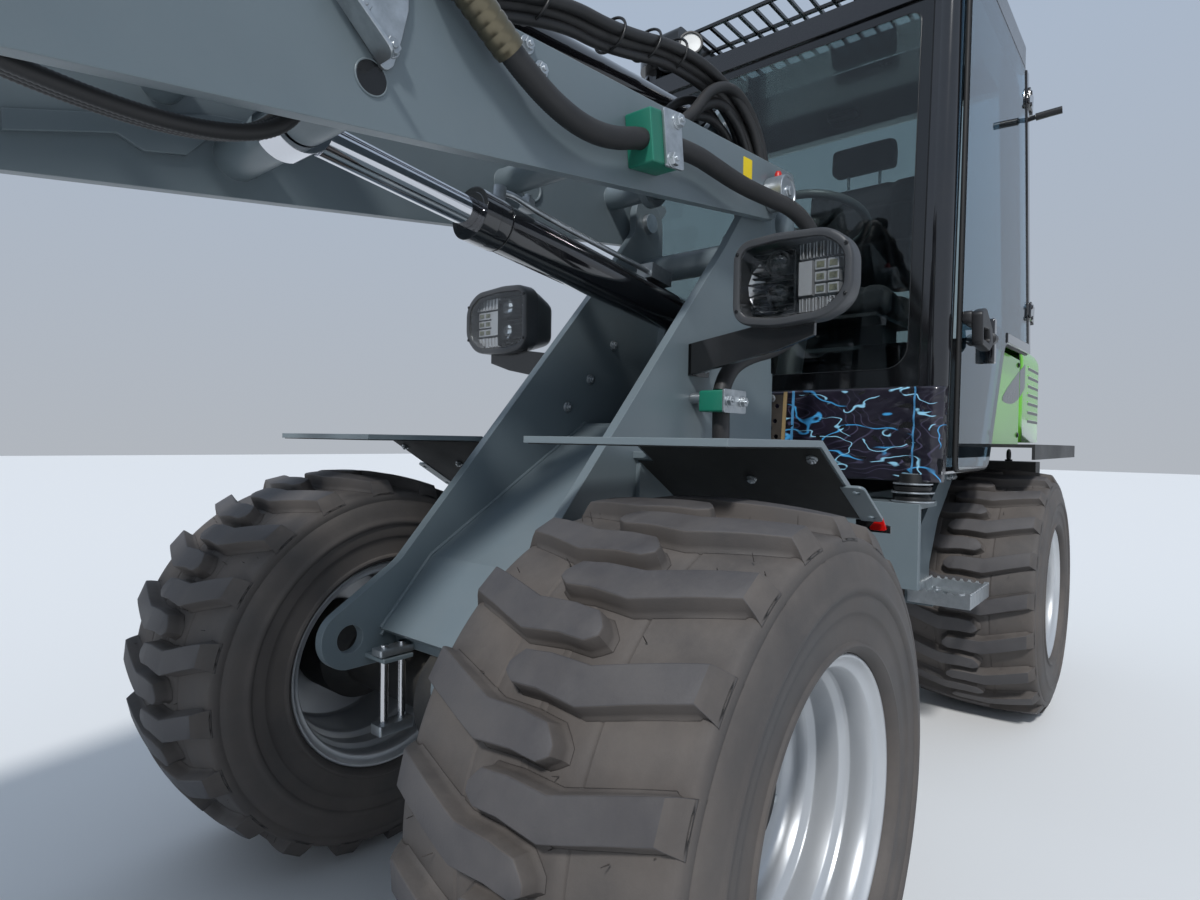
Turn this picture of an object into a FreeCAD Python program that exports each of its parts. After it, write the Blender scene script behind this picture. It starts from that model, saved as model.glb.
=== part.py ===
import FreeCAD, Part
import math
import os

# Articulated compact wheel loader, in millimetres, +X forward, +Y to the left, +Z up, ground at Z = 0.
# Sizes along X are measured from the frame's articulation pivot. The finished pieces are shifted so
# that the origin lies on the ground under the middle of the machine's length.

os.makedirs("parts", exist_ok=True)
Vector = FreeCAD.Vector

# Wheels
TYRE_RADIUS = 393.5
TYRE_WIDTH = 394.0
LUG_HEIGHT = 26.5
LUG_COUNT = 20
LUG_WIDTH = 43.0
FIRST_LUG_ANGLE = 32.7
BEAD_RADIUS = 201.0
RIM_FLANGE_RADIUS = 209.0
RIM_WIDTH = 365.0
RIM_WALL = 7.0
RIM_WELL_RADIUS = 165.0
RIM_DISC_OFFSET = 40.0
RIM_DISC_THICKNESS = 14.0
HUB_RADIUS = 75.0
TRACK = 939.0
WHEELBASE = 1814.0

# Axles
AXLE_TUBE_RADIUS = 62.0
AXLE_BOWL_RADIUS = 110.0
AXLE_BOWL_LENGTH = 190.0
KNUCKLE_RADIUS = 98.0
KNUCKLE_LENGTH = 70.0

# Articulation between rear and front frame
PIVOT_LOW_Z = 470.0
PIVOT_HIGH_Z = 720.0
PIVOT_PIN_RADIUS = 25.0
PIVOT_LUG_RADIUS = 68.0
PIVOT_LUG_THICKNESS = 30.0
PIVOT_LUG_GAP = 2.0
PIN_CLEARANCE = 0.3

# Tower of the front frame
TOWER_HALF_WIDTH = 175.0
TOWER_PLATE = 20.0
TOWER_BACK_X = 80.0
TOWER_BOTTOM_Z = 478.0
TOWER_HEAD_RADIUS = 68.0
EAR_X = 1076.0
EAR_Z = 502.0
EAR_RADIUS = 54.0
EAR_BORE_RADIUS = 25.0
SHEET_THICKNESS = 12.0

# Headlamps on arms beside the tower
LAMP_X = 530.0
LAMP_Y = 407.0
LAMP_Z = 1168.0
LAMP_WIDTH = 236.0
LAMP_HEIGHT = 176.0
LAMP_BEZEL_DEPTH = 46.0
LAMP_DEPTH = 130.0
LAMP_RIM = 20.0
LENS_DEPTH = 16.0
LAMP_ARM_THICKNESS = 12.0

# Hydraulic hoses and their clamps
HOSE_RADIUS = 18.0
HOSE_SLEEVE_RADIUS = 22.0
CLAMP_LENGTH = 86.0
CLAMP_HEIGHT = 92.0
CLAMP_WIDTH = 58.0

# Fuel tank
TANK_TO_TYRE = 43.5
TANK_FRONT_X = -130.0
TANK_OUTER_Y = 520.0
TANK_LOW_Z = 430.0
TANK_HIGH_Z = 690.0

# Arm console in the cab
CONSOLE_WALL_GAP = 80.0
CONSOLE_WIDTH = 160.0
CONSOLE_TOP_Z = 1470.0
STICK_TOP_Z = 1590.0

# Boom
BOOM_PIVOT_X = 208.0
BOOM_PIVOT_Z = 1450.0
BOOM_HALF_WIDTH = 205.0
BOOM_PLATE = 20.0
BOOM_NOSE_X = 1990.0
BOOM_NOSE_Z = 1202.0
BOOM_NOSE_RADIUS = 62.0
BOOM_PIN_RADIUS = 25.0
BOOM_CAP_RADIUS = 40.0
BOOM_CAP_LENGTH = 40.0
CROSS_TUBE_RADIUS = 30.0

# Lift cylinder
LIFT_BASE_X = 200.0
LIFT_BASE_Z = 1162.0
LIFT_EYE_X = 1262.0
LIFT_EYE_Z = 1300.0
LIFT_TUBE_RADIUS = 45.0
LIFT_TUBE_WALL = 8.0
LIFT_TUBE_LENGTH = 751.0
LIFT_ROD_RADIUS = 26.0
BRACKET_GAP = 5.0
BRACKET_PLATE = 20.0

# Tilt cylinder, its lever and its link
TILT_BASE_X = 170.0
TILT_BASE_Z = 1664.0
TILT_TUBE_RADIUS = 42.0
TILT_TUBE_WALL = 7.0
TILT_TUBE_LENGTH = 870.0
TILT_ROD_RADIUS = 22.0
LEVER_PIVOT_X = 1370.0
LEVER_PIVOT_Z = 1375.0
LEVER_TOP_X = 1335.0
LEVER_TOP_Z = 1582.0
LEVER_INNER_Y = 50.0
LEVER_PLATE = 16.0
LINK_PLATE = 14.0
LINK_HALF_HEIGHT = 32.0

# Cylinder eyes and pins
EYE_HALF_WIDTH = 28.0
EYE_RADIUS = 45.0
CYLINDER_PIN_RADIUS = 20.0
SIDE_GAP = 3.0

# Steering cylinder
STEER_BASE_X = -430.0
STEER_BASE_Y = 140.0
STEER_EYE_X = 40.0
STEER_EYE_Y = 110.0
STEER_Z = 600.0
STEER_TUBE_RADIUS = 27.0
STEER_TUBE_WALL = 5.0
STEER_TUBE_LENGTH = 320.0
STEER_ROD_RADIUS = 12.5
STEER_EYE_RADIUS = 26.0
STEER_EYE_HALF = 14.0
STEER_PIN_RADIUS = 11.0

# Quick hitch and bucket, measured from the boom's nose pin
HITCH_FACE_X = 90.0
HITCH_PLATE = 18.0
HITCH_HALF_WIDTH = 330.0
HITCH_TOP_Z = 320.0
HITCH_BOTTOM_Z = -120.0
HITCH_LUG_PLATE = 20.0
HITCH_EYE_RADIUS = 50.0
BUCKET_WIDTH = 1400.0
BUCKET_DEPTH = 700.0
BUCKET_BACK_GAP = 12.0
BUCKET_TOP_Z = 360.0
BUCKET_BOTTOM_Z = -170.0
BUCKET_HEEL_RADIUS = 160.0
BUCKET_WALL = 12.0
BUCKET_SIDE = 12.0
BUCKET_EDGE_LENGTH = 150.0
BUCKET_EDGE_THICKNESS = 20.0
BUCKET_LIP = 20.0

# Rear frame
REAR_PLATE_HALF_WIDTH = 245.0
REAR_PLATE = 16.0
REAR_FRONT_X = -95.0
REAR_END_X = -1560.0
REAR_BOTTOM_Z = 420.0
REAR_TOP_Z = 716.0
CAB_MOUNT_HALF_WIDTH = 470.0
CAB_MOUNT_PLATE = 14.0
CAB_MOUNT_RADIUS = 28.0

# Engine, counterweight and drawbar
ENGINE_LENGTH = 480.0
ENGINE_WIDTH = 400.0
ENGINE_HEIGHT = 430.0
ENGINE_FRONT_X = -1030.0
ENGINE_BOTTOM_Z = 560.0
WEIGHT_LENGTH = 190.0
WEIGHT_HALF_WIDTH = 510.0
WEIGHT_BOTTOM_Z = 470.0
WEIGHT_TOP_Z = 800.0
DRAWBAR_REACH = 90.0
DRAWBAR_BORE_RADIUS = 16.0
DRAWBAR_PLATE = 20.0
DRAWBAR_OPENING = 60.0

# Cab
CAB_HALF_WIDTH = 510.0
CAB_FLOOR_Z = 790.0
CAB_ROOF_Z = 2150.0
CAB_FRONT_FOOT_X = -130.0
CAB_FRONT_HEAD_X = -225.0
CAB_REAR_FOOT_X = -1205.0
CAB_REAR_WAIST_Z = 1200.0
CAB_REAR_HEAD_X = -1040.0
CAB_WAIST_X = -770.0
CAB_POST = 60.0
CAB_RAIL = 60.0
CAB_SHEET = 14.0
ROOF_THICKNESS = 90.0
ROOF_OVERHANG = 40.0
GLASS = 6.0
GLASS_GAP = 0.3
WINDSCREEN_SILL_Z = 1015.0
WINDSCREEN_TOP_Z = 2050.0
ROOF_WINDOW_X = -640.0
ROOF_WINDOW_HALF = 335.0
POST_ROUNDING = 28.0
GUARD_BAR = 10.0
WHEEL_RING_RADIUS = 170.0
WHEEL_RING_SECTION = 13.0

# Door
DOOR_THICKNESS = 30.0
DOOR_GAP = 6.0
DOOR_FRAME = 34.0
DOOR_HINGE_LOW_Z = 1340.0
DOOR_HINGE_HIGH_Z = 2050.0
DOOR_HINGE_RADIUS = 12.0
DOOR_KNUCKLE = 70.0

# Bonnet and side panels
HOOD_FRONT_X = -1224.0
HOOD_REAR_X = -1720.0
HOOD_HALF_WIDTH = 500.0
HOOD_BOTTOM_Z = 880.0
HOOD_TOP_Z = 1262.0
HOOD_SHEET = 14.0
HOOD_ROUNDING = 80.0
LOUVRE_HEIGHT = 12.0
LOUVRE_PITCH = 34.0
PANEL_TOP_Z = 1180.0
PANEL_FRONT_X = -590.0
FENDER_SHEET = 10.0
PANEL_FLOOR = 10.0


def point(x, z, y=0.0):
    return Vector(x, y, z)


def box(x_low, x_high, y_low, y_high, z_low, z_high):
    return Part.makeBox(x_high - x_low, y_high - y_low, z_high - z_low, Vector(x_low, y_low, z_low))


def rod(start, end, radius):
    along = end - start
    return Part.makeCylinder(radius, along.Length, start, along)


def cross_pin(x, z, radius, y_low, y_high):
    """A round piece along Y."""
    return Part.makeCylinder(radius, y_high - y_low, Vector(x, y_low, z), Vector(0, 1, 0))


def upright(x, y, radius, z_low, z_high):
    """A round piece along Z."""
    return Part.makeCylinder(radius, z_high - z_low, Vector(x, y, z_low), Vector(0, 0, 1))


def fused(pieces):
    whole = pieces[0].multiFuse(pieces[1:]) if len(pieces) > 1 else pieces[0]
    return whole.removeSplitter()


def mirrored(piece):
    return piece.mirror(Vector(0, 0, 0), Vector(0, 1, 0))


def pair(piece):
    """The left piece and its mirror image on the right, as two solids."""
    return Part.makeCompound([piece, mirrored(piece)])


def rounded_wire(corners):
    """A closed outline of straight edges. Each corner is (x, z, rounding radius)."""
    edges = []
    cuts = []
    count = len(corners)
    for index, (x, z, radius) in enumerate(corners):
        here = point(x, z)
        before = point(*corners[index - 1][:2]) - here
        after = point(*corners[(index + 1) % count][:2]) - here
        before.normalize()
        after.normalize()
        if radius <= 0:
            cuts.append((here, None, here))
            continue
        half = before.getAngle(after) / 2
        reach = radius / math.tan(half)
        middle = before + after
        middle.normalize()
        centre = here + middle * (radius / math.sin(half))
        cuts.append((here + before * reach, centre - middle * radius, here + after * reach))
    for index, (start, top, end) in enumerate(cuts):
        if top is not None:
            edges.append(Part.Arc(start, top, end).toShape())
        following = cuts[(index + 1) % count][0]
        if end.distanceToPoint(following) > 1e-6:
            edges.append(Part.LineSegment(end, following).toShape())
    return Part.Wire(edges)


def tube(route, radius):
    """A round tube along straight runs that are joined by arcs as large as the runs allow."""
    edges = []
    start = route[0]
    for before, here, after in zip(route, route[1:], route[2:]):
        into = before - here
        out = after - here
        reach = 0.45 * min(into.Length, out.Length)
        into.normalize()
        out.normalize()
        half = into.getAngle(out) / 2
        bend = reach * math.tan(half)
        middle = into + out
        middle.normalize()
        centre = here + middle * (bend / math.sin(half))
        edges.append(Part.LineSegment(start, here + into * reach).toShape())
        edges.append(Part.Arc(here + into * reach, centre - middle * bend, here + out * reach).toShape())
        start = here + out * reach
    edges.append(Part.LineSegment(start, route[-1]).toShape())
    circle = Part.Wire(Part.makeCircle(radius, route[0], route[1] - route[0]))
    return Part.Wire(edges).makePipeShell([circle], True, False)


def plate(corners, y_low, y_high, holes=()):
    """A plate in the XZ plane from y_low to y_high. Each hole is (x, z, radius)."""
    face = Part.Face(rounded_wire(corners))
    face.translate(Vector(0, y_low, 0))
    body = face.extrude(Vector(0, y_high - y_low, 0))
    for x, z, radius in holes:
        body = body.cut(cross_pin(x, z, radius, y_low - 1, y_high + 1))
    return body


def strap(start, end, radius, y_low, y_high, holes=()):
    """A flat bar with round ends between two centres (x, z)."""
    along = point(*end) - point(*start)
    length = along.Length
    along.normalize()
    side = Vector(-along.z, 0, along.x) * radius
    reach = along * radius
    one = point(*start)
    two = point(*end)
    edges = [
        Part.LineSegment(one + side, two + side).toShape(),
        Part.Arc(two + side, two + reach, two - side).toShape(),
        Part.LineSegment(two - side, one - side).toShape(),
        Part.Arc(one - side, one - reach, one + side).toShape(),
    ]
    assert length > 0
    face = Part.Face(Part.Wire(edges))
    face.translate(Vector(0, y_low, 0))
    body = face.extrude(Vector(0, y_high - y_low, 0))
    for x, z, hole_radius in holes:
        body = body.cut(cross_pin(x, z, hole_radius, y_low - 1, y_high + 1))
    return body


def turned(profile, x, z):
    """A body of revolution about the line along Y through (x, z). Each point is (y, radius)."""
    points = [Vector(x, y, z + radius) for y, radius in profile]
    face = Part.Face(Part.makePolygon(points + [points[0]]))
    return face.revolve(Vector(x, 0, z), Vector(0, 1, 0), 360)


# Wheels: a tyre on a rim, four times
def lug(row, start_angle):
    """One chevron lug of a row (1 outer, -1 inner), as a closed body of flat facets."""
    half = TYRE_WIDTH / 2
    crown = TYRE_RADIUS
    low = TYRE_RADIUS - LUG_HEIGHT - 12
    # place across the tyre, lower edge and upper edge along the tread, top radius, foot radius
    stations = [
        (-48, 13, 23, crown, low), (-33, 3, LUG_WIDTH - 3, crown, low), (57, 0, LUG_WIDTH, crown - 1.5, low),
        (172, 38, 38 + LUG_WIDTH, crown - 13.5, low - 8),
        (half - 9, 30, 44 + LUG_WIDTH, crown - LUG_HEIGHT - 14.5, low - 12),
    ]

    def corner(across, along, radius):
        angle = math.radians(start_angle) + along / TYRE_RADIUS
        return Vector(radius * math.cos(angle), row * across, radius * math.sin(angle))

    rings = []
    for across, first, second, top, foot in stations:
        rings.append([corner(across, first, foot), corner(across, first, top), corner(across, second, top),
                      corner(across, second, foot)])
    triangles = []
    for here, there in zip(rings, rings[1:]):
        for side in range(4):
            following = (side + 1) % 4
            triangles.append((here[side], there[side], there[following]))
            triangles.append((here[side], there[following], here[following]))
    for ring in (rings[0], rings[-1]):
        triangles.append((ring[0], ring[1], ring[2]))
        triangles.append((ring[0], ring[2], ring[3]))
    faces = [Part.Face(Part.makePolygon([*triangle, triangle[0]])) for triangle in triangles]
    body = Part.Solid(Part.Shell(faces))
    if body.Volume < 0:
        body.reverse()
    return body


def tyre():
    """The left front tyre: a turned skin with a row of lugs on each side, set half a pitch apart."""
    half = TYRE_WIDTH / 2
    bead = RIM_WIDTH / 2 - RIM_WALL
    floor = TYRE_RADIUS - LUG_HEIGHT
    flange = RIM_FLANGE_RADIUS + 1
    right_half = [
        (bead, BEAD_RADIUS), (bead, flange), (half - 1, flange + 14), (half - 5, flange + 50), (half + 4, flange + 86),
        (half - 6, flange + 130), (half - 9, floor - 13), (half - 16, floor - 10), (0, floor),
    ]
    profile = right_half + [(-y, radius) for y, radius in reversed(right_half[:-1])]
    skin = turned(profile, 0, 0)
    pitch = 360 / LUG_COUNT
    lugs = []
    for step in range(LUG_COUNT):
        lugs.append(lug(1, FIRST_LUG_ANGLE + step * pitch))
        lugs.append(lug(-1, FIRST_LUG_ANGLE + (step + 0.5) * pitch))
    whole = skin.multiFuse(lugs)
    whole.translate(Vector(WHEELBASE / 2, TRACK / 2, TYRE_RADIUS))
    return whole


def rim():
    """The left front rim: rolled barrel with bead humps and a drop well, and a dished disc."""
    half = RIM_WIDTH / 2
    well = RIM_WELL_RADIUS
    disc = RIM_DISC_OFFSET
    # half of the barrel's inner face from the lip to the well, as (place across, radius)
    steps = [
        (half, RIM_FLANGE_RADIUS - 4), (half - 12, well + 24), (half - 46, well + 23), (half - 58, well + 14),
        (half - 92, well + 14), (half - 104, well + 2),
    ]
    profile = [(half - RIM_WALL, BEAD_RADIUS), (half - RIM_WALL, RIM_FLANGE_RADIUS), (half, RIM_FLANGE_RADIUS)]
    profile += steps
    profile += [
        (disc + RIM_DISC_THICKNESS + 8, well), (disc + RIM_DISC_THICKNESS, well - 25),
        (disc + RIM_DISC_THICKNESS - 8, HUB_RADIUS), (disc - 8, HUB_RADIUS), (disc, well),
    ]
    profile += [(-y, radius) for y, radius in reversed(steps)]
    profile += [(-half, RIM_FLANGE_RADIUS), (-half + RIM_WALL, RIM_FLANGE_RADIUS), (-half + RIM_WALL, BEAD_RADIUS)]
    whole = turned(profile, 0, 0)
    whole.translate(Vector(WHEELBASE / 2, TRACK / 2, TYRE_RADIUS))
    return whole


def axle(x):
    """Axle housing with its middle bowl, end bells and the hubs that carry the rims."""
    z = TYRE_RADIUS
    disc_face = TRACK / 2 + RIM_DISC_OFFSET - 8
    bell_end = disc_face - 2 * PIVOT_LUG_GAP
    half_bowl = AXLE_BOWL_LENGTH / 2
    profile = [
        (0, 0), (0, AXLE_BOWL_RADIUS), (half_bowl / 2, AXLE_BOWL_RADIUS), (half_bowl, AXLE_TUBE_RADIUS),
        (bell_end - 2 * KNUCKLE_LENGTH, AXLE_TUBE_RADIUS), (bell_end - 1.5 * KNUCKLE_LENGTH, KNUCKLE_RADIUS),
        (bell_end, KNUCKLE_RADIUS), (bell_end, HUB_RADIUS - PIN_CLEARANCE),
        (disc_face + RIM_DISC_THICKNESS + 30, HUB_RADIUS - PIN_CLEARANCE),
        (disc_face + RIM_DISC_THICKNESS + 30, 0),
    ]
    left = turned(profile, x, z)
    return fused([left, mirrored(left)])


# Front frame
def tower_outline():
    head = TOWER_HEAD_RADIUS
    return [
        (EAR_X + EAR_RADIUS, EAR_Z - EAR_RADIUS, EAR_RADIUS * 0.98),
        (EAR_X - 66, EAR_Z - EAR_RADIUS, 0), (EAR_X - 90, TOWER_BOTTOM_Z, 0),
        (TOWER_BACK_X, TOWER_BOTTOM_Z, 30), (TOWER_BACK_X, 760, 60), (120, 860, 80),
        (BOOM_PIVOT_X - head, BOOM_PIVOT_Z - 2 * head, 60), (BOOM_PIVOT_X - head, BOOM_PIVOT_Z + head, head),
        (BOOM_PIVOT_X + 0.8 * head, BOOM_PIVOT_Z + head, head * 0.8),
        (BOOM_PIVOT_X + 0.8 * head, BOOM_PIVOT_Z - 30, 30), (365, 1296, 40), (975, 630, 90),
        (EAR_X + EAR_RADIUS, EAR_Z + 30, EAR_RADIUS * 0.98),
    ]


def tower_plate():
    """Left side plate with the ear at its foot and the boom's pivot at its head."""
    holes = [
        (EAR_X, EAR_Z, EAR_BORE_RADIUS), (BOOM_PIVOT_X, BOOM_PIVOT_Z, BOOM_PIN_RADIUS + GLASS_GAP),
    ]
    return plate(tower_outline(), TOWER_HALF_WIDTH - TOWER_PLATE, TOWER_HALF_WIDTH, holes)


def front_tower():
    """What is welded between the two side plates, with the pivot lugs behind them."""
    inner = TOWER_HALF_WIDTH - TOWER_PLATE
    pieces = []
    # Folded front sheet, parallel to the lowered lift cylinder
    sheet = [
        (455, 903, 0), (905, 632, 0), (1015, 510, 0), (1015 - SHEET_THICKNESS, 500, 0),
        (900, 618, 0), (455 - SHEET_THICKNESS, 893, 0),
    ]
    pieces.append(plate(sheet, -inner, inner))
    # Belly, back wall and a web below the lift cylinder's base
    pieces.append(box(TOWER_BACK_X, WHEELBASE / 2 - 80, -inner, inner, TOWER_BOTTOM_Z, TOWER_BOTTOM_Z + 14))
    wall = box(TOWER_BACK_X, TOWER_BACK_X + 20, -inner, inner, TOWER_BOTTOM_Z, 1040)
    slot = STEER_EYE_HALF + SIDE_GAP
    pieces.append(wall.cut(box(TOWER_BACK_X - 1, TOWER_BACK_X + 21, 50, inner + 1, STEER_Z - slot, STEER_Z + slot)))
    pieces.append(box(TOWER_BACK_X, 470, -inner, inner, 880, 895))
    # Cylinder base brackets
    eye = LIFT_BASE_X, LIFT_BASE_Z
    bracket_low = LIFT_TUBE_RADIUS + BRACKET_GAP
    bracket = plate(
        [(TOWER_BACK_X, 890, 0), (330, 890, 0), (eye[0] + 55, eye[1] + 50, 40), (eye[0] - 50, eye[1] + 50, 40),
         (TOWER_BACK_X, 1040, 0)],
        bracket_low, bracket_low + BRACKET_PLATE, [(eye[0], eye[1], CYLINDER_PIN_RADIUS + GLASS_GAP)])
    pieces += [bracket, mirrored(bracket)]
    # Stiffening tube between the side plates
    tie = cross_pin(BOOM_PIVOT_X, 1320, 34, -inner, inner)
    pieces.append(tie)
    # Articulation lugs and steering lug at the back
    for z in (PIVOT_LOW_Z, PIVOT_HIGH_Z - PIVOT_LUG_THICKNESS):
        lug = upright(0, 0, PIVOT_LUG_RADIUS, z, z + PIVOT_LUG_THICKNESS)
        lug = lug.fuse(box(0, TOWER_BACK_X, -PIVOT_LUG_RADIUS, PIVOT_LUG_RADIUS, z, z + PIVOT_LUG_THICKNESS))
        hole = upright(0, 0, PIVOT_PIN_RADIUS + PIN_CLEARANCE, z - 1, z + PIVOT_LUG_THICKNESS + 1)
        pieces.append(lug.cut(hole))
    for side_sign in (-1, 1):
        near = STEER_Z + side_sign * (STEER_EYE_HALF + SIDE_GAP)
        far = near + side_sign * 18
        low, high = min(near, far), max(near, far)
        lug = upright(STEER_EYE_X, STEER_EYE_Y, STEER_EYE_RADIUS, low, high)
        pieces.append(lug.fuse(box(STEER_EYE_X, TOWER_BACK_X, STEER_EYE_Y - STEER_EYE_RADIUS,
                                   STEER_EYE_Y + STEER_EYE_RADIUS, low, high)))
    # Axle saddle
    saddle = box(WHEELBASE / 2 - 90, WHEELBASE / 2 + 75, -inner, inner, TYRE_RADIUS + 30, TOWER_BOTTOM_Z + 14)
    pieces.append(saddle.cut(cross_pin(WHEELBASE / 2, TYRE_RADIUS, AXLE_BOWL_RADIUS + 1, -inner - 1, inner + 1)))
    return fused(pieces)


def tower_pins():
    """Boom pivot pins with their outer caps, and the lift cylinder's base pin."""
    inner = TOWER_HALF_WIDTH - TOWER_PLATE
    outer = BOOM_HALF_WIDTH + 1
    pin = cross_pin(BOOM_PIVOT_X, BOOM_PIVOT_Z, BOOM_PIN_RADIUS, inner - 14, outer)
    cap = cross_pin(BOOM_PIVOT_X, BOOM_PIVOT_Z, BOOM_CAP_RADIUS, outer, outer + BOOM_CAP_LENGTH)
    left = fused([pin, cap])
    reach = LIFT_TUBE_RADIUS + BRACKET_GAP + BRACKET_PLATE + 6
    base = cross_pin(LIFT_BASE_X, LIFT_BASE_Z, CYLINDER_PIN_RADIUS, -reach, reach)
    return Part.makeCompound([left, mirrored(left), base])


def front_fender():
    """Left front fender: flat top with a sloping rear apron, held by the apron's inner end."""
    inner = TOWER_HALF_WIDTH
    outer = 560
    top = 867
    bend = 734
    outline = [
        (1010, top, 0), (1010, top - FENDER_SHEET, 0), (bend, top - FENDER_SHEET, 0), (530, 733, 0),
        (524, 741, 0), (bend - FENDER_SHEET / 3, top, 0),
    ]
    shell = plate(outline, inner, outer)
    boom_path = box(bend - 44, 1011, inner - 1, BOOM_HALF_WIDTH + 8, 700, top + 1)
    gusset = plate([(680, 830, 0), (560, 750, 0), (680, 750, 0)], inner, inner + FENDER_SHEET)
    return fused([shell.cut(boom_path), gusset])


def lamp_outline(x, inset, scale=1.0):
    """Outline of the left lamp at a place along X: straight inside, round outside, drawn down in the middle."""
    half_w = (LAMP_WIDTH / 2 - inset) * scale
    half_h = (LAMP_HEIGHT / 2 - inset) * scale
    corners = [
        (-half_w, -0.78 * half_h, 26), (-0.05 * half_w, -half_h, 60), (half_w, -0.70 * half_h, 44),
        (half_w, 0.78 * half_h, 44), (-0.3 * half_w, half_h, 60), (-half_w, 0.94 * half_h, 26),
    ]
    wire = rounded_wire([(across, up, max(6, (radius - inset) * scale)) for across, up, radius in corners])
    wire.rotate(Vector(0, 0, 0), Vector(0, 0, 1), 90)
    wire.translate(Vector(x, LAMP_Y, LAMP_Z))
    return wire


def lamp_prism(x_low, x_high, inset):
    return Part.Face(lamp_outline(x_low, inset)).extrude(Vector(x_high - x_low, 0, 0))


def headlamp():
    """Left lamp: bezel, tapering back and the bent arm that carries it from the tower."""
    shell = lamp_prism(LAMP_X - LAMP_BEZEL_DEPTH, LAMP_X, 0)
    back = Part.makeLoft([lamp_outline(LAMP_X - LAMP_BEZEL_DEPTH, 4), lamp_outline(LAMP_X - LAMP_DEPTH, 4, 0.72)],
                         True, True)
    shell = shell.cut(lamp_prism(LAMP_X - LENS_DEPTH, LAMP_X + 1, LAMP_RIM))
    inner = TOWER_HALF_WIDTH
    x = LAMP_X - 36
    edges = Part.makePolygon([
        Vector(x, inner, 1000), Vector(x, LAMP_Y - 30, 1040), Vector(x, LAMP_Y + 40, 1062),
        Vector(x, LAMP_Y + 40, LAMP_Z - LAMP_HEIGHT / 2 + 12), Vector(x, LAMP_Y - 60, LAMP_Z - LAMP_HEIGHT / 2 + 12),
        Vector(x, inner, 1066), Vector(x, inner, 1000),
    ])
    arm = Part.Face(edges).extrude(Vector(LAMP_ARM_THICKNESS, 0, 0))
    root = box(x - 60, x + LAMP_ARM_THICKNESS, inner, inner + 8, 1000, 1066)
    return fused([shell, back, arm, root])


def headlamp_lens():
    return lamp_prism(LAMP_X - LENS_DEPTH + GLASS_GAP, LAMP_X - 3, LAMP_RIM + GLASS_GAP)


# Hoses: each is held along its way by clamps. What crosses the boom's pivot is left out.
BOOM_HOSE = [
    Vector(1238, 150, 1418), Vector(1240, 152, 1470), Vector(1205, 195, 1494), Vector(1162, 237, 1462),
    Vector(1110, 239, 1428), Vector(1055, 239, 1394), Vector(985, 239, 1364), Vector(910, 239, 1352),
    Vector(835, 239, 1362), Vector(765, 239, 1389), Vector(680, 239, 1404),
]
TOWER_HOSE = [
    Vector(466, 232, 968), Vector(466, 232, 905), Vector(462, 231, 845), Vector(452, 228, 780),
    Vector(442, 218, 735), Vector(436, 206, 705), Vector(436, 176, 705),
]
BOOM_CLAMP = Vector(722, 239, 1396)
TOWER_CLAMP = Vector(466, 232, 946)


def boom_hose():
    """Hose from its port inside the boom, over the plate's upper edge and down to the clamp."""
    middle = fused([tube(BOOM_HOSE, HOSE_RADIUS), rod(BOOM_HOSE[4], BOOM_HOSE[3], HOSE_SLEEVE_RADIUS)])
    port = box(1215, 1262, 126, BOOM_HALF_WIDTH - BOOM_PLATE, 1385, 1420)
    return fused([middle, port])


def boom_fittings():
    """Clamp block on the boom's outer face, and the bent bracket ahead of it."""
    face = BOOM_HALF_WIDTH + GLASS_GAP
    half = CLAMP_LENGTH / 2
    clamp = box(-half, half, face, face + CLAMP_WIDTH, -CLAMP_HEIGHT / 2, CLAMP_HEIGHT / 2)
    clamp.rotate(Vector(0, 0, 0), Vector(0, 1, 0), 8)
    clamp.translate(Vector(BOOM_CLAMP.x, 0, BOOM_CLAMP.z))
    cut = tube(BOOM_HOSE, HOSE_RADIUS + GLASS_GAP)
    bracket = plate(
        [(1344, 1436, 0), (1300, 1356, 8), (1252, 1306, 14), (1234, 1322, 14), (1218, 1400, 8), (1220, 1446, 0)],
        face, face + 8)
    wing = box(-60, 60, face, face + 46, -4, 4)
    wing.rotate(Vector(0, 0, 0), Vector(0, 1, 0), 42)
    wing.translate(Vector(1293, 0, 1350))
    return Part.makeCompound([clamp.cut(cut), fused([bracket, wing])])


def tower_hose():
    """Hose that runs down from the tower's clamp, behind the fender, to a port in the tower plate."""
    return tube(TOWER_HOSE, HOSE_RADIUS)


def tower_fittings():
    """Clamp block on a stub that stands out from the tower's left plate."""
    half = CLAMP_LENGTH / 2
    place = TOWER_CLAMP
    block = box(place.x - half, place.x + half, place.y - CLAMP_WIDTH / 2, place.y + CLAMP_WIDTH / 2,
                place.z - 22, place.z + 22)
    stub = rod(Vector(place.x + 22, TOWER_HALF_WIDTH + GLASS_GAP, place.z + 8), Vector(place.x + 22, place.y, place.z + 8), 11)
    cut = rod(Vector(place.x, place.y, place.z - 60), Vector(place.x, place.y, place.z + 60), HOSE_RADIUS + GLASS_GAP)
    return fused([block, stub]).cut(cut)


# Boom
def boom_edge_low(x):
    return 1393 - 0.1494 * (x - 219)


def boom_edge_high(x):
    return 1538 - 0.0738 * (x - 65)


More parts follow.
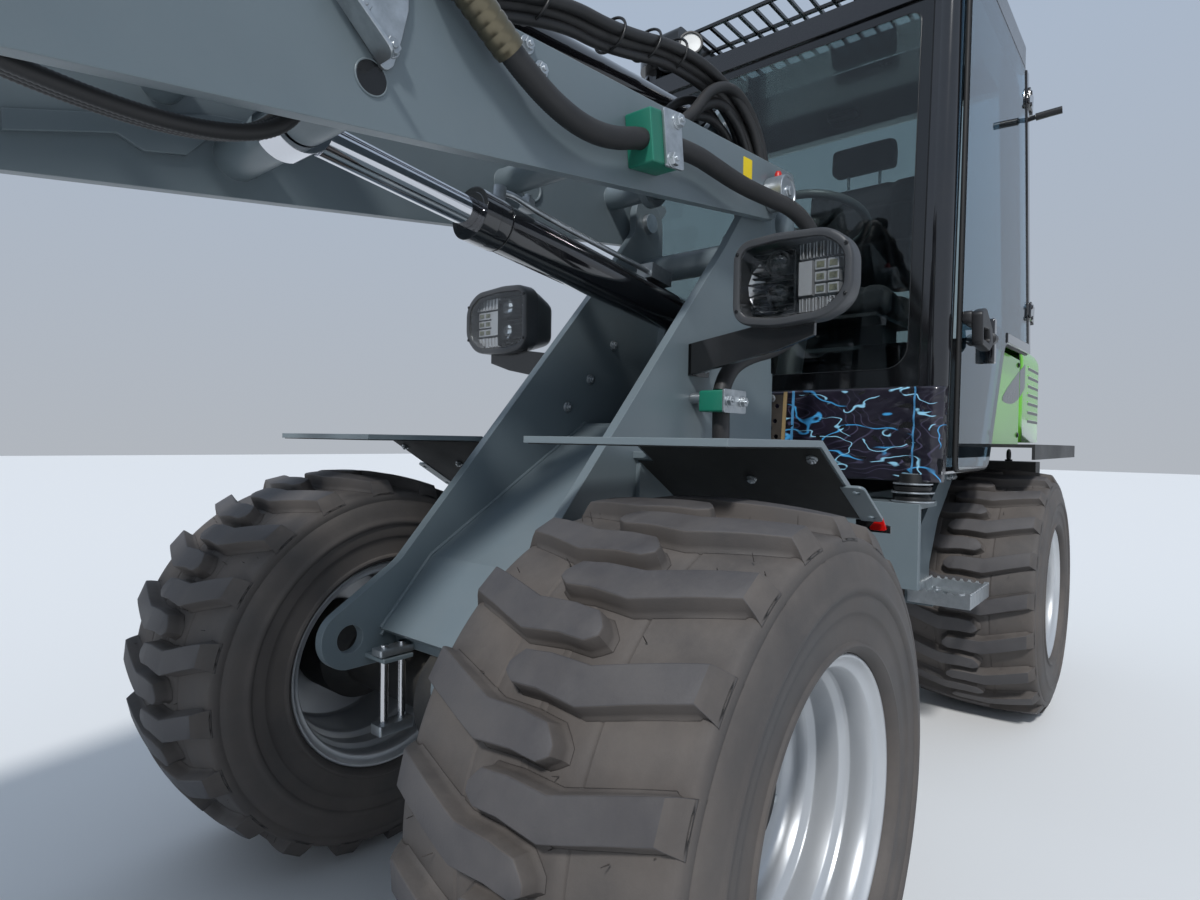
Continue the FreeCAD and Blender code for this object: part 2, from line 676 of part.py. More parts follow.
def boom():
    inner = BOOM_HALF_WIDTH - BOOM_PLATE
    nose = BOOM_NOSE_RADIUS
    outline = [
        (65, boom_edge_high(65), 12), (189, boom_edge_low(189), 12), (1750, boom_edge_low(1750), 60),
        (BOOM_NOSE_X + nose, BOOM_NOSE_Z - nose, nose * 0.95),
        (BOOM_NOSE_X + nose, BOOM_NOSE_Z + nose * 0.7, nose * 0.7), (1700, boom_edge_high(1700), 220),
    ]
    holes = [
        (BOOM_PIVOT_X, BOOM_PIVOT_Z, BOOM_PIN_RADIUS + PIN_CLEARANCE),
        (BOOM_NOSE_X, BOOM_NOSE_Z, BOOM_PIN_RADIUS + PIN_CLEARANCE),
        (LIFT_EYE_X, LIFT_EYE_Z, CYLINDER_PIN_RADIUS),
    ]
    side = plate(outline, inner, BOOM_HALF_WIDTH, holes)
    pieces = [side, mirrored(side)]
    # Cross tubes between the plates: behind the pivot head, under the lever and at the nose
    for x, z, radius in ((330, 1492, CROSS_TUBE_RADIUS), (700, 1425, CROSS_TUBE_RADIUS), (1690, 1235, 45)):
        pieces.append(cross_pin(x, z, radius, -inner, inner))
    # Bosses that hold the lift cylinder's eye between them
    start = EYE_HALF_WIDTH + SIDE_GAP
    boss = cross_pin(LIFT_EYE_X, LIFT_EYE_Z, 36, start, inner)
    boss = boss.cut(cross_pin(LIFT_EYE_X, LIFT_EYE_Z, CYLINDER_PIN_RADIUS, start + 60, inner + 1))
    # Bosses that carry the lever
    lever_outer = LEVER_INNER_Y + LEVER_PLATE
    stub = cross_pin(LEVER_PIVOT_X, LEVER_PIVOT_Z, CYLINDER_PIN_RADIUS, LEVER_INNER_Y, inner)
    collar = cross_pin(LEVER_PIVOT_X, LEVER_PIVOT_Z, 30, lever_outer + SIDE_GAP, inner)
    # Bracket of the tilt cylinder's base, standing on the rear cross tube
    low = TILT_TUBE_RADIUS + BRACKET_GAP
    bracket = strap((330, 1492), (TILT_BASE_X, TILT_BASE_Z), 48, low, low + BRACKET_PLATE,
                    [(TILT_BASE_X, TILT_BASE_Z, CYLINDER_PIN_RADIUS + GLASS_GAP)])
    for piece in (boss, stub, collar, bracket):
        pieces += [piece, mirrored(piece)]
    return fused(pieces)


def tilt_base_pin():
    """The tilt cylinder's base pin in its bracket on the boom."""
    reach = TILT_TUBE_RADIUS + BRACKET_GAP + BRACKET_PLATE + 6
    return cross_pin(TILT_BASE_X, TILT_BASE_Z, CYLINDER_PIN_RADIUS, -reach, reach)


# Cylinders
def barrel(start, end, length, radius, wall, eye_radius, eye_half, pin_radius, across):
    """Cylinder tube with its base eye at start, pointing at end."""
    along = end - start
    along.normalize()
    tube = rod(start + along * (eye_radius - 4), start + along * length, radius)
    bore = rod(start + along * (eye_radius + 20), start + along * (length + 1), radius - wall)
    gland = rod(start + along * (length - 34), start + along * length, radius + 3)
    eye = Part.makeCylinder(eye_radius, 2 * eye_half, start - across * eye_half, across)
    hole = Part.makeCylinder(pin_radius + PIN_CLEARANCE, 2 * eye_half + 2, start - across * (eye_half + 1), across)
    return fused([tube.fuse(gland).cut(bore), eye]).cut(hole)


def piston_rod(start, end, bore_radius, inside, radius, eye_radius, eye_half, pin_radius, across):
    """Piston, rod and rod eye at end; inside is how far the rod starts from the base eye."""
    along = end - start
    along.normalize()
    shaft = rod(start + along * inside, end - along * (eye_radius - 4), radius)
    piston = rod(start + along * inside, start + along * (inside + 40), bore_radius)
    eye = Part.makeCylinder(eye_radius, 2 * eye_half, end - across * eye_half, across)
    hole = Part.makeCylinder(pin_radius + PIN_CLEARANCE, 2 * eye_half + 2, end - across * (eye_half + 1), across)
    return fused([shaft, piston, eye]).cut(hole)


def gland_ring(start, end, length, tube_inner, rod_radius):
    along = end - start
    along.normalize()
    ring = rod(start + along * (length - 30), start + along * length, tube_inner)
    return ring.cut(rod(start + along * (length - 31), start + along * (length + 1), rod_radius + PIN_CLEARANCE))


ACROSS = Vector(0, 1, 0)
UP = Vector(0, 0, 1)
# name, base point, eye point, tube length, tube radius, wall, rod radius, eye radius, eye half width,
# pin radius, rod's inner end from the base, pin direction
CYLINDERS = [
    ("lift", point(LIFT_BASE_X, LIFT_BASE_Z), point(LIFT_EYE_X, LIFT_EYE_Z), LIFT_TUBE_LENGTH,
     LIFT_TUBE_RADIUS, LIFT_TUBE_WALL, LIFT_ROD_RADIUS, EYE_RADIUS, EYE_HALF_WIDTH, CYLINDER_PIN_RADIUS,
     280.0, ACROSS),
    ("tilt", point(TILT_BASE_X, TILT_BASE_Z), point(LEVER_TOP_X, LEVER_TOP_Z), TILT_TUBE_LENGTH,
     TILT_TUBE_RADIUS, TILT_TUBE_WALL, TILT_ROD_RADIUS, EYE_RADIUS, EYE_HALF_WIDTH, CYLINDER_PIN_RADIUS,
     420.0, ACROSS),
    ("steer", Vector(STEER_BASE_X, STEER_BASE_Y, STEER_Z), Vector(STEER_EYE_X, STEER_EYE_Y, STEER_Z),
     STEER_TUBE_LENGTH, STEER_TUBE_RADIUS, STEER_TUBE_WALL, STEER_ROD_RADIUS, STEER_EYE_RADIUS,
     STEER_EYE_HALF, STEER_PIN_RADIUS, 170.0, UP),
]


def lift_pipe():
    """Steel pipe from the port at the lift cylinder's head to the valve block near its base."""
    base = point(LIFT_BASE_X, LIFT_BASE_Z)
    along = point(LIFT_EYE_X, LIFT_EYE_Z) - base
    along.normalize()
    over = Vector(-along.z, 0, along.x)
    radius = LIFT_TUBE_RADIUS

    def spot(reach, height, across=0.0):
        return base + along * reach + over * height + ACROSS * across

    low = radius + GLASS_GAP
    port = rod(spot(692, low), spot(692, low + 28), 13)
    pipe = tube([spot(692, low + 20), spot(660, low + 24, 4), spot(620, low + 14, 14), spot(540, low + 9, 20),
                 spot(420, low + 9, 22), spot(300, low + 11, 22), spot(236, low + 12, 20)], 6)
    block = rod(spot(170, low + 14, 8), spot(250, low + 14, 8), 13)
    solid = Part.makeBox(80, 44, 34, Vector(-40, -22, 0))
    turn = FreeCAD.Rotation(Vector(1, 0, 0), along)
    solid.Placement = FreeCAD.Placement(spot(210, low, 8), turn)
    return fused([port, pipe, block, solid])


def lever():
    """Two lever plates on the boom's stubs, joined by a web above the lift cylinder's eye."""
    outer = LEVER_INNER_Y + LEVER_PLATE
    pivot = LEVER_PIVOT_X, LEVER_PIVOT_Z
    top = LEVER_TOP_X, LEVER_TOP_Z
    holes = [(*pivot, CYLINDER_PIN_RADIUS + PIN_CLEARANCE), (*top, CYLINDER_PIN_RADIUS + PIN_CLEARANCE)]
    side = strap(pivot, top, 42, LEVER_INNER_Y, outer, holes)
    middle = point((pivot[0] + top[0]) / 2, (pivot[1] + top[1]) / 2)
    web = cross_pin(middle.x, middle.z, 26, -LEVER_INNER_Y - 1, LEVER_INNER_Y + 1)
    return fused([side, mirrored(side), web])


def hitch_point(x, z):
    return BOOM_NOSE_X + x, BOOM_NOSE_Z + z


LINK_END_X = BOOM_NOSE_X + LEVER_TOP_X - LEVER_PIVOT_X
LINK_END_Z = BOOM_NOSE_Z + LEVER_TOP_Z - LEVER_PIVOT_Z


def tilt_link():
    """Two link plates outside the lever, with the pins that they carry."""
    start = LEVER_INNER_Y + LEVER_PLATE + SIDE_GAP
    end = start + LINK_PLATE
    top = LEVER_TOP_X, LEVER_TOP_Z
    front = LINK_END_X, LINK_END_Z
    side = strap(top, front, LINK_HALF_HEIGHT, start, end)
    stub = cross_pin(*top, CYLINDER_PIN_RADIUS, EYE_HALF_WIDTH + SIDE_GAP, start)
    middle = (top[0] + front[0]) / 2, (top[1] + front[1]) / 2
    web = cross_pin(*middle, 16, -start - 1, start + 1)
    front_pin = cross_pin(*front, CYLINDER_PIN_RADIUS, -end - SIDE_GAP - HITCH_LUG_PLATE, end + SIDE_GAP + HITCH_LUG_PLATE)
    return fused([side, mirrored(side), stub, mirrored(stub), web, front_pin])


def quick_hitch():
    face_x = BOOM_NOSE_X + HITCH_FACE_X
    back_x = face_x - HITCH_PLATE
    low = BOOM_NOSE_Z + HITCH_BOTTOM_Z
    high = BOOM_NOSE_Z + HITCH_TOP_Z
    board = box(back_x, face_x, -HITCH_HALF_WIDTH, HITCH_HALF_WIDTH, low, high)
    window = box(back_x - 1, face_x + 1, 130, HITCH_HALF_WIDTH - 60, BOOM_NOSE_Z + 95, high - 60)
    board = board.cut(window).cut(mirrored(window))
    # Lugs outside the boom's plates, on the nose pins
    start = BOOM_HALF_WIDTH + SIDE_GAP + 2
    end = start + HITCH_LUG_PLATE
    lug = plate(
        [(*hitch_point(-HITCH_EYE_RADIUS, -HITCH_EYE_RADIUS), 45), (back_x + 1, BOOM_NOSE_Z - 90, 0),
         (back_x + 1, BOOM_NOSE_Z + 90, 0), (*hitch_point(-HITCH_EYE_RADIUS, HITCH_EYE_RADIUS), 45)],
        start, end)
    pin = cross_pin(BOOM_NOSE_X, BOOM_NOSE_Z, BOOM_PIN_RADIUS, BOOM_HALF_WIDTH - BOOM_PLATE - 4, end + 8)
    # Middle lugs for the link
    link_outer = LEVER_INNER_Y + LEVER_PLATE + SIDE_GAP + LINK_PLATE + SIDE_GAP
    middle = plate(
        [(LINK_END_X - 45, LINK_END_Z - 40, 40), (back_x + 1, LINK_END_Z - 110, 0), (back_x + 1, high, 0),
         (LINK_END_X - 45, LINK_END_Z + 45, 40)],
        link_outer, link_outer + HITCH_LUG_PLATE, [(LINK_END_X, LINK_END_Z, CYLINDER_PIN_RADIUS + PIN_CLEARANCE)])
    pieces = [board]
    for piece in (lug, pin, middle):
        pieces += [piece, mirrored(piece)]
    return fused(pieces)


def bucket():
    half = BUCKET_WIDTH / 2
    back = BOOM_NOSE_X + HITCH_FACE_X + BUCKET_BACK_GAP
    lip = back + BUCKET_DEPTH
    low = BOOM_NOSE_Z + BUCKET_BOTTOM_Z
    high = BOOM_NOSE_Z + BUCKET_TOP_Z
    heel = BUCKET_HEEL_RADIUS
    wall = BUCKET_WALL
    outline = [
        (back, high, 0), (back, low, heel), (lip, low, 0), (lip, low + wall, 0),
        (back + wall, low + wall, heel - wall), (back + wall, high, 0),
    ]
    shell = plate(outline, -half, half)
    side_outline = [
        (back, high, 30), (back, low, heel), (lip - 30, low, 0), (lip - 190, low + 190, 40), (back + 130, high, 40),
    ]
    side = plate(side_outline, half - BUCKET_SIDE, half)
    rib = box(back, back + 60, -half, half, high - wall, high)
    edge = box(lip - BUCKET_EDGE_LENGTH, lip + BUCKET_LIP, -half, half, low - 8, low - 8 + BUCKET_EDGE_THICKNESS)
    hook = box(BOOM_NOSE_X + HITCH_FACE_X + GLASS_GAP, back + 1, 240, 300, BOOM_NOSE_Z - 100, BOOM_NOSE_Z + 300)
    return fused([shell, side, mirrored(side), rib, edge, hook, mirrored(hook)])


# Rear frame
def rear_chassis():
    outer = REAR_PLATE_HALF_WIDTH
    inner = outer - REAR_PLATE
    front, back = REAR_FRONT_X, REAR_END_X
    arch = WHEELBASE / 2
    outline = [
        (front, REAR_BOTTOM_Z, 40), (front, REAR_TOP_Z, 0), (back, REAR_TOP_Z, 0), (back, 560, 0),
        (-arch - 170, 560, 60), (-arch - 120, TYRE_RADIUS + 80, 40), (-arch + 120, TYRE_RADIUS + 80, 40),
        (-arch + 200, REAR_BOTTOM_Z, 60),
    ]
    side = plate(outline, inner, outer)
    wall = box(front - 20, front, -CAB_MOUNT_HALF_WIDTH, CAB_MOUNT_HALF_WIDTH, 500, REAR_TOP_Z)
    window = box(front - 21, front + 1, 68, 205, STEER_Z - 60, STEER_Z + 60)
    lower_wall = box(front - 20, front, -outer, outer, REAR_BOTTOM_Z, 500)
    pieces = [side, mirrored(side), fused([wall, lower_wall]).cut(window)]
    shelf = box(front - 160, front, inner, CAB_MOUNT_HALF_WIDTH, REAR_TOP_Z - CAB_MOUNT_PLATE, REAR_TOP_Z)
    post = upright(-1150, inner - 7, 16, REAR_TOP_Z - 20, CAB_REAR_WAIST_Z - GLASS_GAP)
    pieces += [shelf, mirrored(shelf), post, mirrored(post)]
    pieces.append(box(back, -1020, -inner, inner, 545, ENGINE_BOTTOM_Z - GLASS_GAP))
    pieces.append(box(STEER_BASE_X - 60, STEER_BASE_X - 44, -inner, inner, REAR_BOTTOM_Z + 60, REAR_TOP_Z))
    # Articulation lugs above and below the front frame's
    gap = PIVOT_LUG_GAP
    for z in (PIVOT_LOW_Z - gap - PIVOT_LUG_THICKNESS, PIVOT_HIGH_Z + gap):
        high = z + PIVOT_LUG_THICKNESS
        lug = upright(0, 0, PIVOT_LUG_RADIUS, z, high)
        pieces.append(lug.fuse(box(front - 1, 0, -PIVOT_LUG_RADIUS, PIVOT_LUG_RADIUS, z, high)))
    pieces.append(box(front - 20, front, -120, 120, REAR_TOP_Z - 1, PIVOT_HIGH_Z + gap + PIVOT_LUG_THICKNESS))
    pieces.append(upright(0, 0, PIVOT_PIN_RADIUS, PIVOT_LOW_Z - gap - 1, PIVOT_HIGH_Z + gap + 1))
    # Steering cylinder's base pin between two lugs
    for side_sign in (-1, 1):
        near = STEER_Z + side_sign * (STEER_TUBE_RADIUS + BRACKET_GAP)
        far = near + side_sign * 16
        low, high = min(near, far), max(near, far)
        lug = upright(STEER_BASE_X, STEER_BASE_Y, STEER_EYE_RADIUS, low, high)
        pieces.append(lug.fuse(box(STEER_BASE_X - 50, STEER_BASE_X, STEER_BASE_Y - STEER_EYE_RADIUS,
                                   STEER_BASE_Y + STEER_EYE_RADIUS, low, high)))
    pieces.append(upright(STEER_BASE_X, STEER_BASE_Y, STEER_PIN_RADIUS, STEER_Z - 40, STEER_Z + 40))
    # Axle saddle
    saddle = box(-arch - 90, -arch + 90, -inner, inner, TYRE_RADIUS + 40, 559)
    pieces.append(saddle.cut(cross_pin(-arch, TYRE_RADIUS, AXLE_BOWL_RADIUS + 1, -inner - 1, inner + 1)))
    # Rubber seats under the cab's feet
    foot = upright(front - 50, 440, CAB_MOUNT_RADIUS, REAR_TOP_Z - 1, CAB_FLOOR_Z - GLASS_GAP)
    pieces += [foot, mirrored(foot)]
    return fused(pieces)


def engine_block():
    return box(ENGINE_FRONT_X - ENGINE_LENGTH, ENGINE_FRONT_X, -ENGINE_WIDTH / 2, ENGINE_WIDTH / 2,
               ENGINE_BOTTOM_Z, ENGINE_BOTTOM_Z + ENGINE_HEIGHT)


def counterweight():
    front = REAR_END_X - GLASS_GAP
    back = front - WEIGHT_LENGTH
    half = WEIGHT_HALF_WIDTH
    block = box(back, front, -half, half, WEIGHT_BOTTOM_Z, WEIGHT_TOP_Z)
    upright_edges = [edge for edge in block.Edges
                     if edge.BoundBox.ZLength > 100 and edge.BoundBox.Center.x < front - WEIGHT_LENGTH / 2]
    block = block.makeFillet(90, upright_edges)
    middle = (WEIGHT_BOTTOM_Z + 560) / 2 + 40
    pieces = [block]
    for z_low in (middle - DRAWBAR_OPENING / 2 - DRAWBAR_PLATE, middle + DRAWBAR_OPENING / 2):
        lug = box(back - DRAWBAR_REACH + 45, back + 1, -45, 45, z_low, z_low + DRAWBAR_PLATE)
        lug = lug.fuse(upright(back - DRAWBAR_REACH + 45, 0, 45, z_low, z_low + DRAWBAR_PLATE))
        pieces.append(lug.cut(upright(back - DRAWBAR_REACH + 45, 0, DRAWBAR_BORE_RADIUS, z_low - 1,
                                      z_low + DRAWBAR_PLATE + 1)))
    return fused(pieces)


def front_edge_x(z):
    share = (z - CAB_FLOOR_Z) / (CAB_ROOF_Z - CAB_FLOOR_Z)
    return CAB_FRONT_FOOT_X + share * (CAB_FRONT_HEAD_X - CAB_FRONT_FOOT_X)


def rear_edge_x(z):
    share = (z - CAB_REAR_WAIST_Z) / (CAB_ROOF_Z - CAB_REAR_WAIST_Z)
    return CAB_REAR_FOOT_X + share * (CAB_REAR_HEAD_X - CAB_REAR_FOOT_X)


def cab_side_outline(front, rear, low, high, waist, notch):
    """The cab's side as corners: front foot, front head, rear head, rear foot, waist, lower rear."""
    return [
        (front_edge_x(low) - front, low, 0), (front_edge_x(high) - front, high, 0),
        (rear_edge_x(high) + rear, high, 0), (rear_edge_x(waist) + rear, waist, 0),
        (CAB_WAIST_X + notch, waist, 0), (-560 + notch, low, 0),
    ]


def cab_frame():
    post, rail = CAB_POST, CAB_RAIL
    outer = CAB_HALF_WIDTH
    waist = CAB_REAR_WAIST_Z
    side = plate(cab_side_outline(0, 0, CAB_FLOOR_Z, CAB_ROOF_Z, waist, 0), outer - post, outer)
    opening = plate(cab_side_outline(post, post, CAB_FLOOR_Z + 40, CAB_ROOF_Z - rail, waist + 40, 46),
                    outer - post - 1, outer + 1)
    side = side.cut(opening)
    front_edges = [edge for edge in side.Edges if abs(edge.BoundBox.Center.y - outer) < 1
                   and edge.BoundBox.ZLength > 1000 and edge.BoundBox.XMax > CAB_FRONT_HEAD_X - 1]
    side = side.makeFillet(POST_ROUNDING, front_edges)
    pieces = [side, mirrored(side)]
    # Cross rails: header of the windscreen, rear rail of the roof, rail at the waist
    header = WINDSCREEN_TOP_Z
    for x, z in ((front_edge_x(header) - post, header), (rear_edge_x(CAB_ROOF_Z), CAB_ROOF_Z - rail),
                 (rear_edge_x(waist) + 2, waist)):
        pieces.append(box(x, x + post - 4, -outer + post, outer - post, z, z + rail))
    pieces.append(box(CAB_FRONT_FOOT_X - post, CAB_FRONT_FOOT_X - 4, -outer, outer, CAB_FLOOR_Z, CAB_FLOOR_Z + 40))
    # Floor, riser behind the feet and shelf under the seat
    inside = outer - post + 1
    pieces.append(box(-560, CAB_FRONT_FOOT_X - 10, -inside, inside, CAB_FLOOR_Z, CAB_FLOOR_Z + CAB_SHEET))
    riser = plate([(-560, CAB_FLOOR_Z, 0), (CAB_WAIST_X, waist, 0), (CAB_WAIST_X + CAB_SHEET, waist, 0),
                   (-560 + CAB_SHEET, CAB_FLOOR_Z, 0)], -inside, inside)
    pieces.append(riser)
    pieces.append(box(rear_edge_x(waist) + 2, CAB_WAIST_X + CAB_SHEET, -inside, inside, waist, waist + CAB_SHEET))
    return fused(pieces)


def cab_roof():
    """Roof slab with an open bay in front, where the driver looks up through the roof window."""
    low = CAB_ROOF_Z + GLASS_GAP
    high = CAB_ROOF_Z + ROOF_THICKNESS
    out = ROOF_OVERHANG
    half = CAB_HALF_WIDTH + 20
    slab = box(rear_edge_x(CAB_ROOF_Z) - out, CAB_FRONT_HEAD_X + out, -half, half, low, high)
    corners = [edge for edge in slab.Edges if edge.BoundBox.ZLength > ROOF_THICKNESS / 2]
    slab = slab.makeFillet(80, corners)
    upper = [edge for edge in slab.Edges if edge.BoundBox.ZMin > high - 1]
    slab = slab.makeFillet(24, upper)
    bay = box(ROOF_WINDOW_X, 0, -ROOF_WINDOW_HALF, ROOF_WINDOW_HALF, low - 1, high + 1)
    return slab.cut(bay)


def roof_guard():
    """Grid of flat bars over the open bay of the roof, standing on its two front arms."""
    bar = GUARD_BAR
    half = ROOF_WINDOW_HALF + 40
    low = CAB_ROOF_Z + ROOF_THICKNESS + GLASS_GAP
    high = low + bar
    rear = ROOF_WINDOW_X - 30
    front = -270.0
    pieces = []
    rows = 3
    for step in range(rows + 1):
        x = front + (rear - front) * step / rows
        pieces.append(box(x - bar / 2, x + bar / 2, -half, half, low, high))
    columns = 14
    for step in range(columns + 1):
        y = -half + 2 * half * step / columns
        pieces.append(box(rear - bar / 2, front + bar / 2, y - bar / 2, y + bar / 2, low, high))
    return fused(pieces)


def windscreen():
    """Windscreen, and the roof window that slopes up from its header to the roof."""
    low, high = WINDSCREEN_SILL_Z, WINDSCREEN_TOP_Z - GLASS_GAP
    half = CAB_HALF_WIDTH - CAB_POST - GLASS_GAP
    front = 14
    outline = [
        (front_edge_x(low) - front, low, 0), (front_edge_x(high) - front, high, 0),
        (front_edge_x(high) - front - GLASS, high, 0), (front_edge_x(low) - front - GLASS, low, 0),
    ]
    header_x = front_edge_x(WINDSCREEN_TOP_Z) - CAB_POST
    header_z = WINDSCREEN_TOP_Z + CAB_RAIL + GLASS_GAP
    window = [
        (header_x + 40, header_z, 0), (ROOF_WINDOW_X, CAB_ROOF_Z - GLASS - GLASS_GAP, 0),
        (ROOF_WINDOW_X, CAB_ROOF_Z - GLASS_GAP, 0), (header_x + 40, header_z + GLASS, 0),
    ]
    return Part.makeCompound([plate(outline, -half, half), plate(window, -half, half)])


def front_panel():
    """Closed panel below the windscreen, between the front posts."""
    low, high = CAB_FLOOR_Z + 40 + GLASS_GAP, WINDSCREEN_SILL_Z - GLASS_GAP
    half = CAB_HALF_WIDTH - CAB_POST - GLASS_GAP
    outline = [
        (front_edge_x(low) - 2, low, 0), (front_edge_x(high) - 2, high, 0), (front_edge_x(high) - 32, high, 0),
        (front_edge_x(low) - 32, low, 0),
    ]
    return plate(outline, -half, half)


def rear_window():
    low, high = CAB_REAR_WAIST_Z + CAB_RAIL + GLASS_GAP, CAB_ROOF_Z - CAB_RAIL - GLASS_GAP
    half = CAB_HALF_WIDTH - CAB_POST - GLASS_GAP
    outline = [
        (rear_edge_x(low) + 16, low, 0), (rear_edge_x(high) + 16, high, 0),
        (rear_edge_x(high) + 16 + GLASS, high, 0), (rear_edge_x(low) + 16 + GLASS, low, 0),
    ]
    return plate(outline, -half, half)


def side_window():
    """Fixed glass of the right side."""
    gap = GLASS_GAP
    outline = cab_side_outline(CAB_POST + gap, CAB_POST + gap, CAB_FLOOR_Z + 40 + gap, CAB_ROOF_Z - CAB_RAIL - gap,
                               CAB_REAR_WAIST_Z + 40 + gap, 46 + gap)
    outer = -CAB_HALF_WIDTH + 20
    return plate(outline, outer, outer + GLASS)


def door_outline(inset):
    low, high = CAB_FLOOR_Z + inset, CAB_ROOF_Z - 10 - inset
    return cab_side_outline(20 + inset, 12 + inset, low, high, CAB_REAR_WAIST_Z - 18 + inset, inset)


def door_frame():
    start = CAB_HALF_WIDTH + DOOR_GAP
    frame = plate(door_outline(0), start, start + DOOR_THICKNESS)
    frame = frame.cut(plate(door_outline(DOOR_FRAME), start - 1, start + DOOR_THICKNESS + 1))
    handle = box(-330, -190, start + DOOR_THICKNESS - 1, start + DOOR_THICKNESS + 34, 1170, 1215)
    bar = box(-330, front_edge_x(1190) - 20 - DOOR_FRAME / 2, start + 4, start + DOOR_THICKNESS, 1172, 1212)
    pieces = [frame, handle, bar]
    # Knuckles above the ones on the post, each with a short strap to the door's edge
    low, high = door_axis()
    along = high - low
    along.normalize()
    for middle in (low, high):
        bottom = middle + along * (DOOR_KNUCKLE / 2 + GLASS_GAP)
        top = bottom + along * DOOR_KNUCKLE / 2
        pieces.append(rod(bottom, top, DOOR_HINGE_RADIUS))
        pieces.append(box(bottom.x, bottom.x + 40, middle.y - 6, middle.y + 6, bottom.z + 3, top.z - 3))
    return fused(pieces)


def door_glass():
    start = CAB_HALF_WIDTH + DOOR_GAP
    middle = start + DOOR_THICKNESS / 2 - GLASS / 2
    glass = plate(door_outline(DOOR_FRAME + GLASS_GAP), middle, middle + GLASS)
    cut = box(-331, -100, start - 1, start + DOOR_THICKNESS + 40, 1169, 1216)
    return glass.cut(cut)


def door_axis():
    y = CAB_HALF_WIDTH + DOOR_GAP + DOOR_THICKNESS / 2
    low = Vector(rear_edge_x(DOOR_HINGE_LOW_Z) - 14, y, DOOR_HINGE_LOW_Z)
    high = Vector(rear_edge_x(DOOR_HINGE_HIGH_Z) - 14, y, DOOR_HINGE_HIGH_Z)
    return low, high


def door_hinges():
    """Hinge blocks on the rear posts, each a leaf with a knuckle behind the door's edge."""
    low, high = door_axis()
    along = high - low
    along.normalize()
    pieces = []
    for middle in (low, high):
        knuckle = rod(middle - along * DOOR_KNUCKLE / 2, middle + along * DOOR_KNUCKLE / 2, DOOR_HINGE_RADIUS)
        leaf = box(middle.x - 10, middle.x + 10, CAB_HALF_WIDTH + GLASS_GAP, middle.y, middle.z - 28, middle.z + 28)
        pieces.append(fused([knuckle, leaf]))
    return Part.makeCompound(pieces)


def seat():
    cushion = box(-990, -560, -240, 240, 1290, 1400)
    cushion = cushion.makeFillet(36, cushion.Edges)
    back = plate([(-960, 1370, 50), (-1035, 1900, 50), (-935, 1900, 40), (-860, 1370, 40)], -230, 230)
    base = box(-960, CAB_WAIST_X, -180, 180, CAB_REAR_WAIST_Z + CAB_SHEET + GLASS_GAP, 1300)
    return fused([cushion, back, base])


def steering_axis():
    """Foot and top of the steering column."""
    return Vector(-270, 0, CAB_FLOOR_Z + CAB_SHEET + GLASS_GAP), Vector(-520, 0, 1600)


def steering_column():
    foot, top = steering_axis()
    column = rod(foot + Vector(0, 0, 40), top, 40)
    base = box(foot.x - 60, foot.x + 60, -80, 80, foot.z, foot.z + 90)
    return fused([column, base])


def steering_wheel():
    foot, top = steering_axis()
    along = top - foot - Vector(0, 0, 40)
    along.normalize()
    centre = top + along * 30
    section = []
    for step in range(6):
        angle = math.radians(60 * step)
        reach = WHEEL_RING_RADIUS + WHEEL_RING_SECTION * math.cos(angle)
        section.append(centre + ACROSS * reach + along * (WHEEL_RING_SECTION * math.sin(angle)))
    ring = Part.Face(Part.makePolygon([*section, section[0]])).revolve(centre, along, 360)
    hub = rod(top + along * GLASS_GAP, centre + along * 12, 34)
    pieces = [ring, hub]
    for angle in (90, 210, 330):
        direction = ACROSS * math.cos(math.radians(angle))
        direction += along.cross(ACROSS) * math.sin(math.radians(angle))
        pieces.append(rod(centre, centre + direction * WHEEL_RING_RADIUS, 9))
    return fused(pieces)


def console():
    """Arm console on the right of the seat with the control lever."""
    outer = CONSOLE_WALL_GAP - CAB_HALF_WIDTH
    middle = outer + CONSOLE_WIDTH / 2
    block = box(-900, -560, outer, outer + CONSOLE_WIDTH, CAB_REAR_WAIST_Z + CAB_SHEET + GLASS_GAP, CONSOLE_TOP_Z)
    stick = rod(Vector(-610, middle, CONSOLE_TOP_Z - 10), Vector(-590, middle, STICK_TOP_Z), 14)
    knob = Part.makeSphere(32, Vector(-588, middle, STICK_TOP_Z + 15))
    return fused([block, stick, knob])


def step_bracket():
    """Bent support from the sill of the cab down to the step."""
    outline = [
        (-700, 786, 0), (-560, 786, 0), (-330, 640, 0), (-235, 470, 0), (-235, 436, 0), (-420, 436, 0),
        (-420, 520, 30), (-500, 640, 30),
    ]
    arm = plate(outline, 400, 412)
    rest = box(-420, -235, 412, 470, 436, 446)
    strut = box(-300, -280, REAR_PLATE_HALF_WIDTH, 401, 560, 640)
    return fused([arm, rest, strut])


